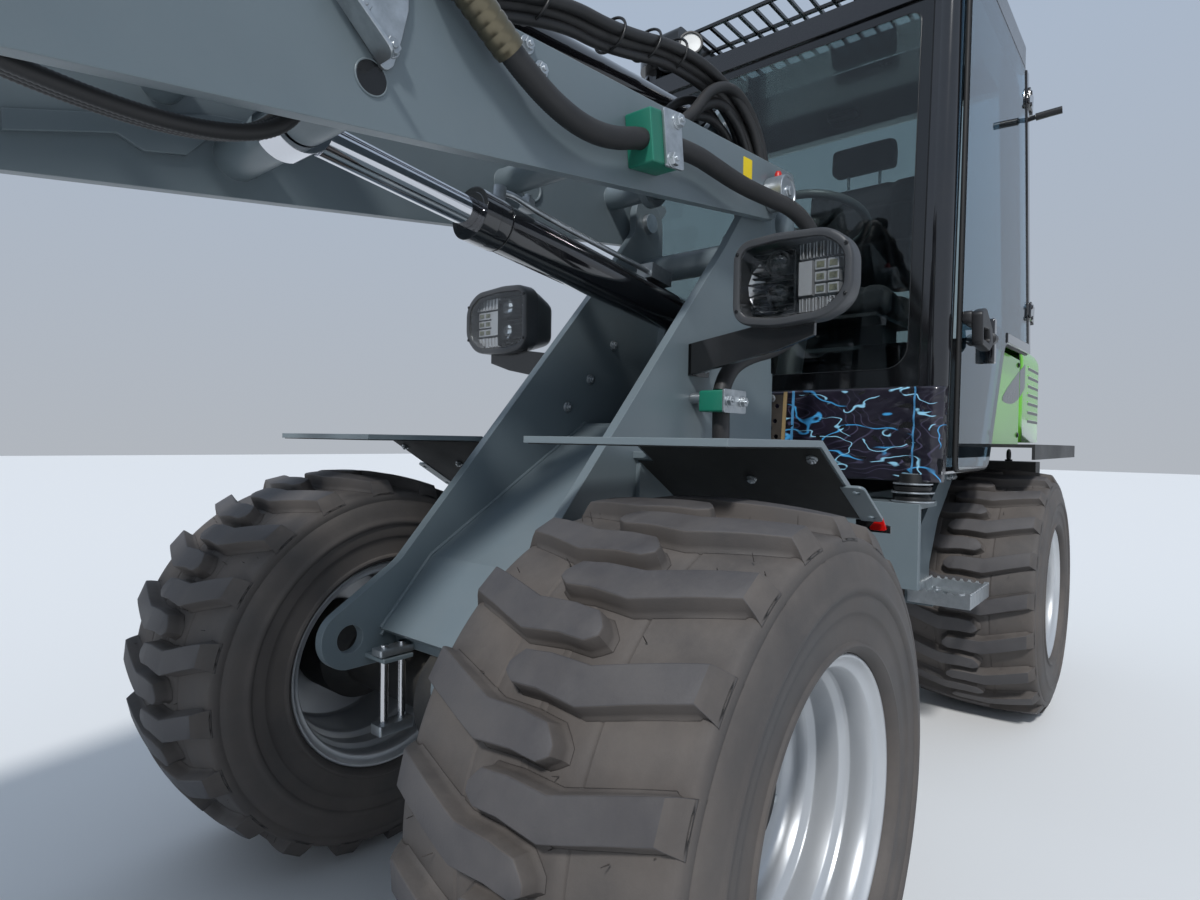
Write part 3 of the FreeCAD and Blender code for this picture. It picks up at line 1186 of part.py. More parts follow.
def step_tread():
    """Pressed step: a floor with two upright flanges whose upper edges are cut into teeth."""
    low = 446.3
    x_low, x_high = -430.0, -210.0
    y_low, y_high = 414.0, 565.0
    sheet = 6.0
    tooth, height = 20.0, 40.0
    floor = box(x_low, x_high, y_low, y_high, low, low + sheet)
    flange = box(x_low, x_high, y_high - sheet, y_high, low, low + height)
    back = box(x_low, x_high, y_low, y_low + sheet, low, low + height)
    ends = [box(x, x + sheet, y_low, y_high, low, low + height) for x in (x_low, x_high - sheet)]
    notches = []
    for step in range(int((x_high - x_low) / tooth)):
        x = x_low + tooth * (step + 0.5)
        notches.append(cross_pin(x, low + height, tooth * 0.36, y_low - 1, y_high + 1))
    for step in range(int((y_high - y_low) / tooth)):
        y = y_low + tooth * (step + 0.6)
        notches.append(rod(Vector(x_low - 1, y, low + height), Vector(x_high + 1, y, low + height), tooth * 0.36))
    slots = [rod(Vector(x, y, low - 1), Vector(x, y, low + sheet + 1), 16)
             for x in (x_low + 60, x_low + 110, x_low + 160) for y in (y_low + 45, y_low + 105)]
    whole = fused([floor, flange, back, *ends])
    return whole.cut(notches + slots)


def side_panel():
    """Left body side below the cab and ahead of the bonnet."""
    outline = [
        (PANEL_FRONT_X - 22, HOOD_BOTTOM_Z, 0), (CAB_WAIST_X - 26, PANEL_TOP_Z, 0),
        (HOOD_FRONT_X + 8, PANEL_TOP_Z, 0), (HOOD_FRONT_X + 8, HOOD_BOTTOM_Z, 0),
    ]
    skin = plate(outline, HOOD_HALF_WIDTH - HOOD_SHEET, HOOD_HALF_WIDTH)
    floor = box(HOOD_FRONT_X + 8, PANEL_FRONT_X - 24, 240, HOOD_HALF_WIDTH, HOOD_BOTTOM_Z - PANEL_FLOOR,
                HOOD_BOTTOM_Z)
    return fused([skin, floor])


def rear_fender():
    """Left rear fender: a flat cover over the tyre."""
    inner = REAR_PLATE_HALF_WIDTH + GLASS_GAP
    x_front, x_back = -615, -1556
    high = HOOD_BOTTOM_Z - PANEL_FLOOR - GLASS_GAP
    top = box(x_back, x_front, inner, 640, high - FENDER_SHEET, high)
    lip = box(x_back, x_front, 632, 640, high - 45, high)
    hang = box(x_back, x_front, inner, inner + FENDER_SHEET, REAR_TOP_Z - 40, high)
    return fused([top, lip, hang])


def hood():
    """Rear bonnet: rounded top and rear corners, open below, with side louvres and a rear grille."""
    x_low, x_high = HOOD_REAR_X, HOOD_FRONT_X
    half = HOOD_HALF_WIDTH
    radius = HOOD_ROUNDING
    sheet = HOOD_SHEET

    def shell(inset, extra):
        body = box(x_low + inset, x_high + extra, -half + inset, half - inset, HOOD_BOTTOM_Z - extra, HOOD_TOP_Z - inset)
        upright_edges = [edge for edge in body.Edges if edge.BoundBox.Center.x < x_low + inset + 1
                         and edge.BoundBox.ZLength > 100]
        body = body.makeFillet(radius - inset, upright_edges)
        top = HOOD_TOP_Z - inset
        upper = [edge for edge in body.Edges if edge.BoundBox.ZMin > top - 1 and edge.BoundBox.XMax < x_high + extra - 1
                 or edge.BoundBox.ZMin > top - 1 and edge.BoundBox.XLength > 300]
        return body.makeFillet(radius - inset - 20, upper)

    hull = shell(0, 0).cut(shell(sheet, 1))
    cuts = []
    for step in range(7):
        z = HOOD_BOTTOM_Z + 90 + step * LOUVRE_PITCH
        cuts.append(box(x_low + 130, x_high - 150, -half - 1, half + 1, z, z + LOUVRE_HEIGHT))
        cuts.append(box(x_low - 1, x_low + sheet + 1, -half + 150, half - 150, z, z + LOUVRE_HEIGHT))
    return hull.cut(cuts)


def hood_hinges():
    """Two hinge blocks between the cab's rear rail and the bonnet."""
    rail_face = rear_edge_x(CAB_REAR_WAIST_Z) + 2
    x = (rail_face + HOOD_FRONT_X) / 2
    z = HOOD_TOP_Z - HOOD_SHEET / 2
    radius = (rail_face - HOOD_FRONT_X) / 2 - GLASS_GAP
    pieces = []
    for y in (-300, 300):
        pieces.append(cross_pin(x, z, radius, y - 40, y + 40))
    return Part.makeCompound(pieces)


def side_tank():
    """Fuel tank low on the right side behind the front wall."""
    back = TYRE_RADIUS - WHEELBASE / 2 + TANK_TO_TYRE
    tank = box(back, TANK_FRONT_X, -TANK_OUTER_Y, -REAR_PLATE_HALF_WIDTH - GLASS_GAP, TANK_LOW_Z, TANK_HIGH_Z)
    return tank.makeFillet(30, [edge for edge in tank.Edges if edge.BoundBox.XLength > 100])


def rear_lamps():
    back = REAR_END_X - WEIGHT_LENGTH
    lamp = box(back - 24, back - GLASS_GAP * 2, 330, 410, 690, 750)
    return pair(lamp)


def nodes():
    made = {}
    for part, shape in (("tyre", tyre()), ("rim", rim())):
        made[f"{part}_front_left"] = shape
        made[f"{part}_front_right"] = mirrored(shape)
        for name in ("left", "right"):
            rear = made[f"{part}_front_{name}"].copy()
            rear.translate(Vector(-WHEELBASE, 0, 0))
            made[f"{part}_rear_{name}"] = rear
    made["front_axle"] = axle(WHEELBASE / 2)
    made["rear_axle"] = axle(-WHEELBASE / 2)
    made["front_tower"] = front_tower()
    made["tower_plate_left"] = tower_plate()
    made["tower_plate_right"] = mirrored(tower_plate())
    made["tower_pins"] = tower_pins()
    fender = front_fender()
    made["front_fender_left"] = fender
    made["front_fender_right"] = mirrored(fender)
    made["tower_hose"] = tower_hose()
    made["tower_fittings"] = tower_fittings()
    made["boom_hose"] = boom_hose()
    made["boom_fittings"] = boom_fittings()
    made["lift_pipe"] = lift_pipe()
    made["headlamps"] = pair(headlamp())
    made["headlamp_lenses"] = pair(headlamp_lens())
    made["boom"] = boom()
    made["tilt_base_pin"] = tilt_base_pin()
    for (name, base, eye, length, radius, wall, rod_radius, eye_radius, eye_half, pin_radius, inside,
         across) in CYLINDERS:
        bore = radius - wall
        body = barrel(base, eye, length, radius, wall, eye_radius, eye_half, pin_radius, across)
        ring = gland_ring(base, eye, length, bore, rod_radius)
        made[f"{name}_barrel"] = fused([body, ring])
        made[f"{name}_rod"] = piston_rod(base, eye, bore - PIN_CLEARANCE, inside, rod_radius, eye_radius,
                                         eye_half, pin_radius, across)
    made["tilt_lever"] = lever()
    made["tilt_link"] = tilt_link()
    made["quick_hitch"] = quick_hitch()
    made["bucket"] = bucket()
    made["rear_chassis"] = rear_chassis()
    made["engine_block"] = engine_block()
    made["counterweight"] = counterweight()
    made["cab_frame"] = cab_frame()
    made["cab_roof"] = cab_roof()
    made["roof_guard"] = roof_guard()
    made["windscreen"] = windscreen()
    made["front_panel"] = front_panel()
    made["rear_window"] = rear_window()
    made["side_window"] = side_window()
    made["door_frame"] = door_frame()
    made["door_glass"] = door_glass()
    made["door_hinges"] = door_hinges()
    made["seat"] = seat()
    made["steering_column"] = steering_column()
    made["steering_wheel"] = steering_wheel()
    made["control_console"] = console()
    made["step_bracket"] = step_bracket()
    made["step_tread"] = step_tread()
    made["side_panels"] = pair(side_panel())
    made["rear_fenders"] = pair(rear_fender())
    made["hood"] = hood()
    made["hood_hinges"] = hood_hinges()
    made["side_tank"] = side_tank()
    made["rear_lamps"] = rear_lamps()
    return made


front_reach = BOOM_NOSE_X + HITCH_FACE_X + BUCKET_BACK_GAP + BUCKET_DEPTH + BUCKET_LIP
rear_reach = REAR_END_X - GLASS_GAP - WEIGHT_LENGTH - DRAWBAR_REACH
shift = Vector(-(front_reach + rear_reach) / 2, 0, 0)
print("articulation pivot at X", round(shift.x, 3))
for node, shape in nodes().items():
    shape.translate(shift)
    shape.exportStep(f"parts/{node}.step")
    if not shape.isValid():
        print("not valid:", node)
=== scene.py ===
import bmesh
import bpy
import math
from mathutils import Matrix, Vector


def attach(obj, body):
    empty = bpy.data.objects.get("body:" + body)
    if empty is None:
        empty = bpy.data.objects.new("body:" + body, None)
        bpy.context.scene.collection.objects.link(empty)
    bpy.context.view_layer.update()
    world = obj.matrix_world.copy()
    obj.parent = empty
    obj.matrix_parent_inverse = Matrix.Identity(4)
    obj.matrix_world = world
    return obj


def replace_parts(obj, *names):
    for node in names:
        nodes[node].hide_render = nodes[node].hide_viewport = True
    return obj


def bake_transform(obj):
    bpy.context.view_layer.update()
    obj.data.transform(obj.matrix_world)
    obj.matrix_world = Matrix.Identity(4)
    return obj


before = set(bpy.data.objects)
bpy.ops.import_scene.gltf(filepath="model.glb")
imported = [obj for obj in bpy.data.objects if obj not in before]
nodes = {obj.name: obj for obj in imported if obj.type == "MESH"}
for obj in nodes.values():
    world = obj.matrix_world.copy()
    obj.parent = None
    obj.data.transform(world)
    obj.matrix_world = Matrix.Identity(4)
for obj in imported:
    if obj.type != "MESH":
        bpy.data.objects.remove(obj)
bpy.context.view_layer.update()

# The articulation pivot's place along X. Places below are given from it, in metres.
PIVOT_X = -0.48585


def at(x, y, z):
    return Vector((PIVOT_X + x, y, z))


# Camera: low at the front left corner, close to the near front tyre, with a wide lens.
CAMERA_PLACE = at(1.72985, 0.97104, 0.8625)
CAMERA_FORWARD = Vector((-0.76410, -0.64494, -0.01424))
CAMERA_UP = Vector((-0.00079, -0.02114, 0.99978))
CAMERA_LENS = 20.78

camera = bpy.data.objects.new("camera", bpy.data.cameras.new("camera"))
bpy.context.scene.collection.objects.link(camera)
camera.data.sensor_width = 36.0
camera.data.lens = CAMERA_LENS
camera.data.clip_start = 0.02
camera.data.clip_end = 200.0
right = CAMERA_FORWARD.cross(CAMERA_UP).normalized()
level_up = right.cross(CAMERA_FORWARD).normalized()
camera.matrix_world = Matrix(((right.x, level_up.x, -CAMERA_FORWARD.x, CAMERA_PLACE.x), (right.y, level_up.y,
    -CAMERA_FORWARD.y, CAMERA_PLACE.y), (right.z, level_up.z, -CAMERA_FORWARD.z, CAMERA_PLACE.z), (0, 0, 0, 1)))
bpy.context.scene.camera = camera
bpy.context.scene.view_settings.view_transform = "Standard"
bpy.context.scene.cycles.caustics_refractive = False
bpy.context.scene.cycles.caustics_reflective = False

# Studio: a high sun from the front left, a soft sky and a pale floor.
SUN_DIRECTION = Vector((0.80, 0.40, 0.85))
SUN_STRENGTH = 2.35
SUN_SPREAD = math.radians(6)
SKY_STRENGTH = 0.64
FLOOR_COLOUR = (0.80, 0.80, 0.79, 1)

sun = bpy.data.objects.new("sun", bpy.data.lights.new("sun", "SUN"))
bpy.context.scene.collection.objects.link(sun)
sun.data.energy = SUN_STRENGTH
sun.data.angle = SUN_SPREAD
sun.rotation_mode = "QUATERNION"
sun.rotation_quaternion = SUN_DIRECTION.to_track_quat("Z", "Y")

world = bpy.data.worlds.new("studio")
bpy.context.scene.world = world
world.use_nodes = True
world_nodes = world.node_tree.nodes
world_links = world.node_tree.links
background = world_nodes["Background"]
coordinates = world_nodes.new("ShaderNodeTexCoord")
split = world_nodes.new("ShaderNodeSeparateXYZ")
ramp = world_nodes.new("ShaderNodeValToRGB")
ramp.color_ramp.elements[0].position = 0.35
ramp.color_ramp.elements[0].color = (0.72, 0.73, 0.74, 1)
ramp.color_ramp.elements[1].position = 0.75
ramp.color_ramp.elements[1].color = (0.62, 0.74, 0.92, 1)
half = world_nodes.new("ShaderNodeMath")
half.operation = "MULTIPLY_ADD"
half.inputs[1].default_value = 0.5
half.inputs[2].default_value = 0.5
world_links.new(coordinates.outputs["Generated"], split.inputs[0])
world_links.new(split.outputs["Z"], half.inputs[0])
world_links.new(half.outputs[0], ramp.inputs["Fac"])
world_links.new(ramp.outputs["Color"], background.inputs["Color"])
background.inputs["Strength"].default_value = SKY_STRENGTH

floor_mesh = bpy.data.meshes.new("floor")
reach = 30.0
floor_mesh.from_pydata([(-reach, -reach, 0), (reach, -reach, 0), (reach, reach, 0), (-reach, reach, 0)], [],
    [(0, 1, 2, 3)])
floor = bpy.data.objects.new("floor", floor_mesh)
bpy.context.scene.collection.objects.link(floor)
floor_material = bpy.data.materials.new("floor")
floor_material.use_nodes = True
floor_material.node_tree.nodes["Principled BSDF"].inputs["Base Color"].default_value = FLOOR_COLOUR
floor_material.node_tree.nodes["Principled BSDF"].inputs["Roughness"].default_value = 0.9
floor_mesh.materials.append(floor_material)


# Tyres: wide 15 inch field tyres of black rubber, cured in a mould that leaves the chevron lugs,
# the ribs of the sidewall and short rubber hairs where it was vented. Their lug tops are clean and
# worn a little, and dry earth lies in the floor between the lugs.
def colour(red, green, blue, alpha=1.0):
    """A colour given in the 0 to 255 steps of a screen, as the renderer's linear values."""
    def linear(step):
        value = step / 255
        return value / 12.92 if value <= 0.04045 else ((value + 0.055) / 1.055) ** 2.4
    return (linear(red), linear(green), linear(blue), alpha)


def new_group(name, inputs, outputs):
    """An empty shader group with its inner ends. inputs and outputs are (name, socket type, value)."""
    group = bpy.data.node_groups.new(name, "ShaderNodeTree")
    for way, sockets in (("INPUT", inputs), ("OUTPUT", outputs)):
        for socket_name, kind, value in sockets:
            socket = group.interface.new_socket(socket_name, in_out=way, socket_type="NodeSocket" + kind)
            if value is not None:
                socket.default_value = value
    return group, group.nodes.new("NodeGroupInput").outputs, group.nodes.new("NodeGroupOutput").inputs


def add(tree, kind, *inputs, **settings):
    """A shader node with its settings. inputs are (socket, value), where a value may be another socket."""
    node = tree.nodes.new("ShaderNode" + kind)
    for name, value in settings.items():
        setattr(node, name, value)
    for place, value in inputs:
        if hasattr(value, "is_output"):
            tree.links.new(value, node.inputs[place])
        else:
            node.inputs[place].default_value = value
    return node


def object_place(tree):
    return add(tree, "TexCoord").outputs["Object"]


def noise(tree, vector, scale, detail=4.0, roughness=0.55):
    return add(tree, "TexNoise", ("Vector", vector), ("Scale", scale), ("Detail", detail),
        ("Roughness", roughness)).outputs["Fac"]


def mixed(tree, factor, first, second):
    """A colour mix of two sockets or colours by a factor socket."""
    return add(tree, "Mix", (0, factor), (6, first), (7, second), data_type="RGBA").outputs[2]


def product(tree, first, second):
    return add(tree, "Math", (0, first), (1, second), operation="MULTIPLY").outputs[0]


def ranged(tree, value, low, high, to_low=0.0, to_high=1.0):
    """A value socket mapped from one range to another, without leaving it."""
    return add(tree, "MapRange", ("Value", value), ("From Min", low), ("From Max", high), ("To Min", to_low),
        ("To Max", to_high)).outputs["Result"]


# Group: a rounded look on sharp edges, with a fine grain over the whole surface
edge_group, edge_in, edge_out = new_group("soft edge", [("Radius", "Float", 0.002), ("Grain", "Float", 0.1),
    ("Grain Scale", "Float", 300.0), ("Grain Height", "Float", 0.0005)],
    [("Normal", "Vector", None), ("Edge", "Float", None)])
bevel = add(edge_group, "Bevel", ("Radius", edge_in["Radius"]), samples=4).outputs["Normal"]
facing = add(edge_group, "VectorMath", (0, bevel), (1, add(edge_group, "NewGeometry").outputs["Normal"]),
    operation="DOT_PRODUCT").outputs["Value"]
edge_group.links.new(ranged(edge_group, facing, 0.995, 0.90), edge_out["Edge"])
grain = noise(edge_group, object_place(edge_group), edge_in["Grain Scale"], 2.0)
grain_bump = add(edge_group, "Bump", ("Strength", edge_in["Grain"]), ("Distance", edge_in["Grain Height"]),
    ("Height", grain), ("Normal", bevel))
edge_group.links.new(grain_bump.outputs["Normal"], edge_out["Normal"])

# Group: light and dark clouds in a colour, as paint or rubber has in daylight
cloud_group, cloud_in, cloud_out = new_group("clouds", [("Colour", "Color", None), ("Second", "Color", None),
    ("Scale", "Float", 3.0)], [("Colour", "Color", None), ("Mask", "Float", None)])
cloud_noise = noise(cloud_group, object_place(cloud_group), cloud_in["Scale"], 6.0, 0.6)
cloud_mask = ranged(cloud_group, cloud_noise, 0.35, 0.65)
cloud_group.links.new(cloud_mask, cloud_out["Mask"])
cloud_group.links.new(mixed(cloud_group, cloud_mask, cloud_in["Colour"], cloud_in["Second"]), cloud_out["Colour"])

# Group: dust that settles on what faces up, thicker in patches
dust_group, dust_in, dust_out = new_group("dust", [("Amount", "Float", 0.3), ("Scale", "Float", 8.0)],
    [("Mask", "Float", None)])
dust_noise = noise(dust_group, object_place(dust_group), dust_in["Scale"], 8.0, 0.7)
dust_split = add(dust_group, "SeparateXYZ", (0, add(dust_group, "NewGeometry").outputs["Normal"]))
dust_up = ranged(dust_group, dust_split.outputs["Z"], -0.2, 1.0, 0.25, 1.0)
dust_patch = ranged(dust_group, dust_noise, 0.38, 0.72)
dust_group.links.new(product(dust_group, product(dust_group, dust_up, dust_patch), dust_in["Amount"]),
    dust_out["Mask"])


def new_material(name, **values):
    """A material with its shader's plain values, as the material, its node tree and the shader's inputs."""
    material = bpy.data.materials.new(name)
    material.use_nodes = True
    shader = material.node_tree.nodes["Principled BSDF"].inputs
    for socket, value in values.items():
        shader[socket.replace("_", " ")].default_value = value
    return material, material.node_tree, shader


def placed(tree, group, **values):
    """The outputs of a group placed in a material with its own values."""
    node = add(tree, "Group", node_tree=group)
    for name, value in values.items():
        node.inputs[name.replace("_", " ")].default_value = value
    return node.outputs


def finish(name, first, second, roughness, metallic=0.0, clouds=2.5, dust=0.0, dust_colour=(150, 140, 125),
           radius=0.0015, grain=0.08, grain_scale=400.0, coat=0.0, edge=None):
    """A painted, plastic or metal finish: clouds of two colours, dust, grain and soft edges."""
    material, tree, shader = new_material(name, Metallic=metallic, Coat_Weight=coat, Coat_Roughness=0.08)
    cloud = placed(tree, cloud_group, Colour=colour(*first), Second=colour(*second), Scale=clouds)
    soft = placed(tree, edge_group, Radius=radius, Grain=grain, Grain_Scale=grain_scale)
    shade = mixed(tree, soft["Edge"], cloud["Colour"], colour(*edge)) if edge else cloud["Colour"]
    rough = ranged(tree, cloud["Mask"], 0.0, 1.0, roughness * 0.85, min(1.0, roughness * 1.2))
    if dust:
        settled = placed(tree, dust_group, Amount=dust)["Mask"]
        shade = mixed(tree, settled, shade, colour(*dust_colour))
        rough = mixed(tree, settled, rough, (0.8, 0.8, 0.8, 1))
    for socket, value in (("Base Color", shade), ("Roughness", rough), ("Normal", soft["Normal"])):
        tree.links.new(value, shader[socket])
    return material


def new_piece(name, body, materials, shape, indices=None, smooth=40.0):
    """A mesh object that rides on a body. shape is its points and faces, indices each face's material."""
    mesh = bpy.data.meshes.new(name)
    mesh.from_pydata([tuple(vertex) for vertex in shape[0]], [], shape[1])
    for material in materials if isinstance(materials, (list, tuple)) else [materials]:
        mesh.materials.append(material)
    if indices:
        for polygon, index in zip(mesh.polygons, indices):
            polygon.material_index = index
    if smooth:
        mesh.polygons.foreach_set("use_smooth", [True] * len(mesh.polygons))
        mesh.set_sharp_from_angle(angle=math.radians(smooth))
    mesh.update()
    piece = bpy.data.objects.new(name, mesh)
    bpy.context.scene.collection.objects.link(piece)
    if body:
        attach(piece, body)
    return piece


def lathe(profile, segments, place, side=1.0, closed=False):
    """Points and faces of a profile of (y, radius), turned about the line along Y through place."""
    count = len(profile)
    vertices = []
    for step in range(segments):
        turn = 2 * math.pi * step / segments
        for y, radius in profile:
            vertices.append((place.x + radius * math.cos(turn), place.y + side * y, place.z + radius * math.sin(turn)))
    faces = []
    for step in range(segments):
        here = step * count
        there = (step + 1) % segments * count
        for index in range(count if closed else count - 1):
            following = (index + 1) % count
            quad = (here + index, there + index, there + following, here + following)
            faces.append(quad if side > 0 else quad[::-1])
    return vertices, faces


def strips(count, rows, base=0, wrap=True, flip=False):
    """Faces between rows of count points each. wrap closes each row to a ring."""
    faces = []
    for row in range(rows - 1):
        here = base + row * count
        for step in range(count if wrap else count - 1):
            following = (step + 1) % count
            quad = (here + step, here + following, here + count + following, here + count + step)
            faces.append(quad[::-1] if flip else quad)
    return faces


def lofted(rings, side=1, closed_start=True, closed_end=True):
    """Points and faces through rings of equal count."""
    count = len(rings[0])
    faces = strips(count, len(rings))
    if closed_start:
        faces.append(tuple(reversed(range(count))))
    if closed_end:
        faces.append(tuple((len(rings) - 1) * count + step for step in range(count)))
    if side < 0:
        faces = [face[::-1] for face in faces]
    return [point for ring in rings for point in ring], faces


def joined(parts):
    """Several (points, faces) as one."""
    vertices = []
    faces = []
    for part_points, part_faces in parts:
        base = len(vertices)
        vertices += part_points
        faces += [tuple(base + index for index in face) for face in part_faces]
    return vertices, faces


def circle(middle, radius, steps, across=(0, 1, 0), up=(0, 0, 1), closed=False):
    """Points round a middle, from the side that across names. closed repeats the first one at the end."""
    turns = [2 * math.pi * step / steps for step in range(steps + closed)]
    return [middle + (Vector(across) * math.cos(turn) + Vector(up) * math.sin(turn)) * radius for turn in turns]


WHEELS = [("front_left", 0.907, 1), ("front_right", 0.907, -1), ("rear_left", -0.907, 1), ("rear_right", -0.907, -1)]
WHEEL_Y = 0.4695
WHEEL_Z = 0.3935
LUGS_PER_SIDE = 20
LUG_TURN = 360 / LUGS_PER_SIDE
FIRST_LUG_TURN = 32.7
TREAD_SEGMENTS = 160
# Stations along a lug from its inner tip to the shoulder, in millimetres from the tyre's middle:
# place across the tyre, lower edge and upper edge along the tread, and the top's radius (0 for the crown)
LUG_STATIONS = [(-48, 13, 23, 0), (-41, 8, 32, 0), (-33, 3.5, 40.5, 0), (-15, 4, 42, 0), (2, 5, 44, 0),
    (20, 3.3, 43.7, 0), (39, 1.6, 43.3, 0), (57, 0, 43, 0), (76, 6, 49, 0), (96, 12.5, 55.5, 0), (116, 19.5, 62, 0),
    (134, 25.5, 68, 0), (153, 31.5, 74, 0), (172, 38, 80, 0), (178, 35.5, 82.5, 371), (183.5, 33, 84.5, 361),
    (188, 30, 86, 352.5)]
# The flank from the floor up: (share of the height, how far it stands out from the top's edge)
LUG_FLANK = [(-0.25, 8.0), (0.0, 7.0), (0.10, 4.2), (0.30, 2.6), (0.90, 0.5), (0.97, -0.1), (1.0, -1.2)]
CROWN_RADIUS, CROWN_DROP = 393.5, 14.0
FLOOR_RADIUS, FLOOR_DROP = 367.0, 10.0
# The tyre's skin from the middle of the tread to the bead, as (place across, radius)
SKIN = [(0, 367.0), (4, 367.0), (5.2, 366.2), (6.4, 366.9), (30, 366.7), (60, 365.8), (72, 365.2), (74, 363.6),
    (76.5, 363.6), (78.5, 365.0), (110, 363.0), (145, 360.1), (172, 357.3), (182, 356.4), (186.5, 354.0),
    (188.6, 349.5), (190.0, 341.5), (189.2, 339.6), (189.4, 337.6), (191.2, 335.9), (195.0, 327.0), (197.2, 317.0),
    (198.8, 306.0), (200.2, 301.0), (202.0, 297.5), (202.4, 293.5), (200.8, 289.6), (197.6, 287.0), (196.6, 278.0),
    (196.2, 266.0), (195.0, 262.6), (193.2, 260.6), (192.4, 250.0), (191.9, 232.0), (192.6, 228.0), (196.0, 225.6),
    (197.0, 222.0), (195.0, 218.2), (190.0, 214.5), (183.0, 211.6), (176.0, 210.6), (172.0, 203.0)]


def tyre_mesh(place, side):
    """Skin and lugs of one tyre, as points, faces and material numbers: 0 skin, 1 lug top."""
    profile = [(-y / 1000, radius / 1000) for y, radius in reversed(SKIN)]
    profile += [(y / 1000, radius / 1000) for y, radius in SKIN[1:]]
    vertices, faces = lathe(profile, TREAD_SEGMENTS, place, side)
    numbers = [0] * len(faces)

    def laid(across, along, radius, row, start):
        turn = math.radians(start) + along / CROWN_RADIUS
        return (place.x + radius * math.cos(turn) / 1000, place.y + side * row * across / 1000,
            place.z + radius * math.sin(turn) / 1000)

    rows = []
    for step in range(LUGS_PER_SIDE):
        rows.append((1, FIRST_LUG_TURN + step * LUG_TURN))
        rows.append((-1, FIRST_LUG_TURN + (step + 0.5) * LUG_TURN))
    outline = [(across, low) for across, low, _, _ in LUG_STATIONS]
    outline += [(across, high) for across, _, high, _ in reversed(LUG_STATIONS)]
    count = len(outline)
    stations = len(LUG_STATIONS)
    pushes = []
    for index in range(count):
        before, here, after = outline[index - 1], outline[index], outline[(index + 1) % count]
        one = Vector((here[1] - before[1], before[0] - here[0])).normalized()
        two = Vector((after[1] - here[1], here[0] - after[0])).normalized()
        middle = (one + two).normalized()
        pushes.append(middle / max(0.55, middle.dot(one)))
    for row, start in rows:
        flip = side * row < 0
        base = len(vertices)
        for share, out in LUG_FLANK:
            for index, (across, along) in enumerate(outline):
                station = index if index < stations else count - 1 - index
                top = LUG_STATIONS[station][3] or CROWN_RADIUS - CROWN_DROP * (across / 175) ** 2
                floor = FLOOR_RADIUS - FLOOR_DROP * (across / 175) ** 2
                if station >= stations - 3:
                    out_here = out * (0.2 if out > 0 else 0.5)
                    floor -= 6 * (station - stations + 4)
                else:
                    out_here = out
                push = pushes[index] * out_here
                vertices.append(laid(across + push.x, along + push.y, floor + share * (top - floor), row, start))
        levels = len(LUG_FLANK)
        faces += strips(count, levels, base, flip=flip)
        numbers += [0] * (levels - 2) * count + [1] * count
        top_ring = base + (levels - 1) * count
        for index in range(stations - 1):
            quad = (top_ring + index, top_ring + index + 1, top_ring + count - 2 - index,
                top_ring + count - 1 - index)
            faces.append(quad[::-1] if flip else quad)
            numbers.append(1 if index < stations - 4 else 0)
    return vertices, faces, numbers


rubber_skin = finish("rubber skin", (70, 67, 66), (88, 82, 78), 0.72, clouds=5.0, dust=0.62,
    dust_colour=(116, 109, 103), grain=0.35, grain_scale=520.0, radius=0.001)
rubber_top = finish("rubber lug top", (66, 64, 66), (80, 78, 79), 0.62, clouds=9.0, dust=0.35,
    dust_colour=(112, 106, 100), grain=0.5, grain_scale=260.0, radius=0.0012)

for corner, wheel_x, side in WHEELS:
    *skin, skin_numbers = tyre_mesh(at(wheel_x, side * WHEEL_Y, WHEEL_Z), side)
    tyre = new_piece(f"{corner}_tread", f"wheel_{corner}", [rubber_skin, rubber_top], skin, skin_numbers, smooth=38.0)
    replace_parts(tyre, f"tyre_{corner}")

# Vent hairs: thin rubber pips left by the mould on the tread's floor and shoulders
VENT_HAIRS = 150
GOLDEN_TURN = 2.399963
for corner, wheel_x, side in WHEELS:
    hairs = []
    for step in range(VENT_HAIRS):
        turn = GOLDEN_TURN * step
        across = 0.165 * math.sin(step * 1.7) * (1.0 if step % 3 else 0.99)
        foot_radius = 0.3665 if abs(across) < 0.150 else 0.352
        lean = 0.25 * math.sin(step * 5.1)
        out = Vector((math.cos(turn), lean * 0.6, math.sin(turn))).normalized()
        radial = Vector((math.cos(turn), 0, math.sin(turn)))
        foot = at(wheel_x, side * WHEEL_Y + across, WHEEL_Z) + radial * foot_radius
        tip = foot + out * (0.010 + 0.006 * math.sin(step * 2.3))
        along = (-math.sin(turn), 0, math.cos(turn))
        hairs.append(lofted([circle(foot, 0.0009, 3, along, (0, 1, 0)), circle(tip, 0.0005, 3, along, (0, 1, 0))],
            closed_start=False))
    new_piece(f"{corner}_vent_hairs", f"wheel_{corner}", rubber_skin, joined(hairs), smooth=0)


# Rims: one-piece steel rims, rolled with two humps and a drop well, with a dished disc welded
# deep inside. They are sprayed silver. Eight nuts hold the disc to the axle's hub.
RIM_SEGMENTS = 144
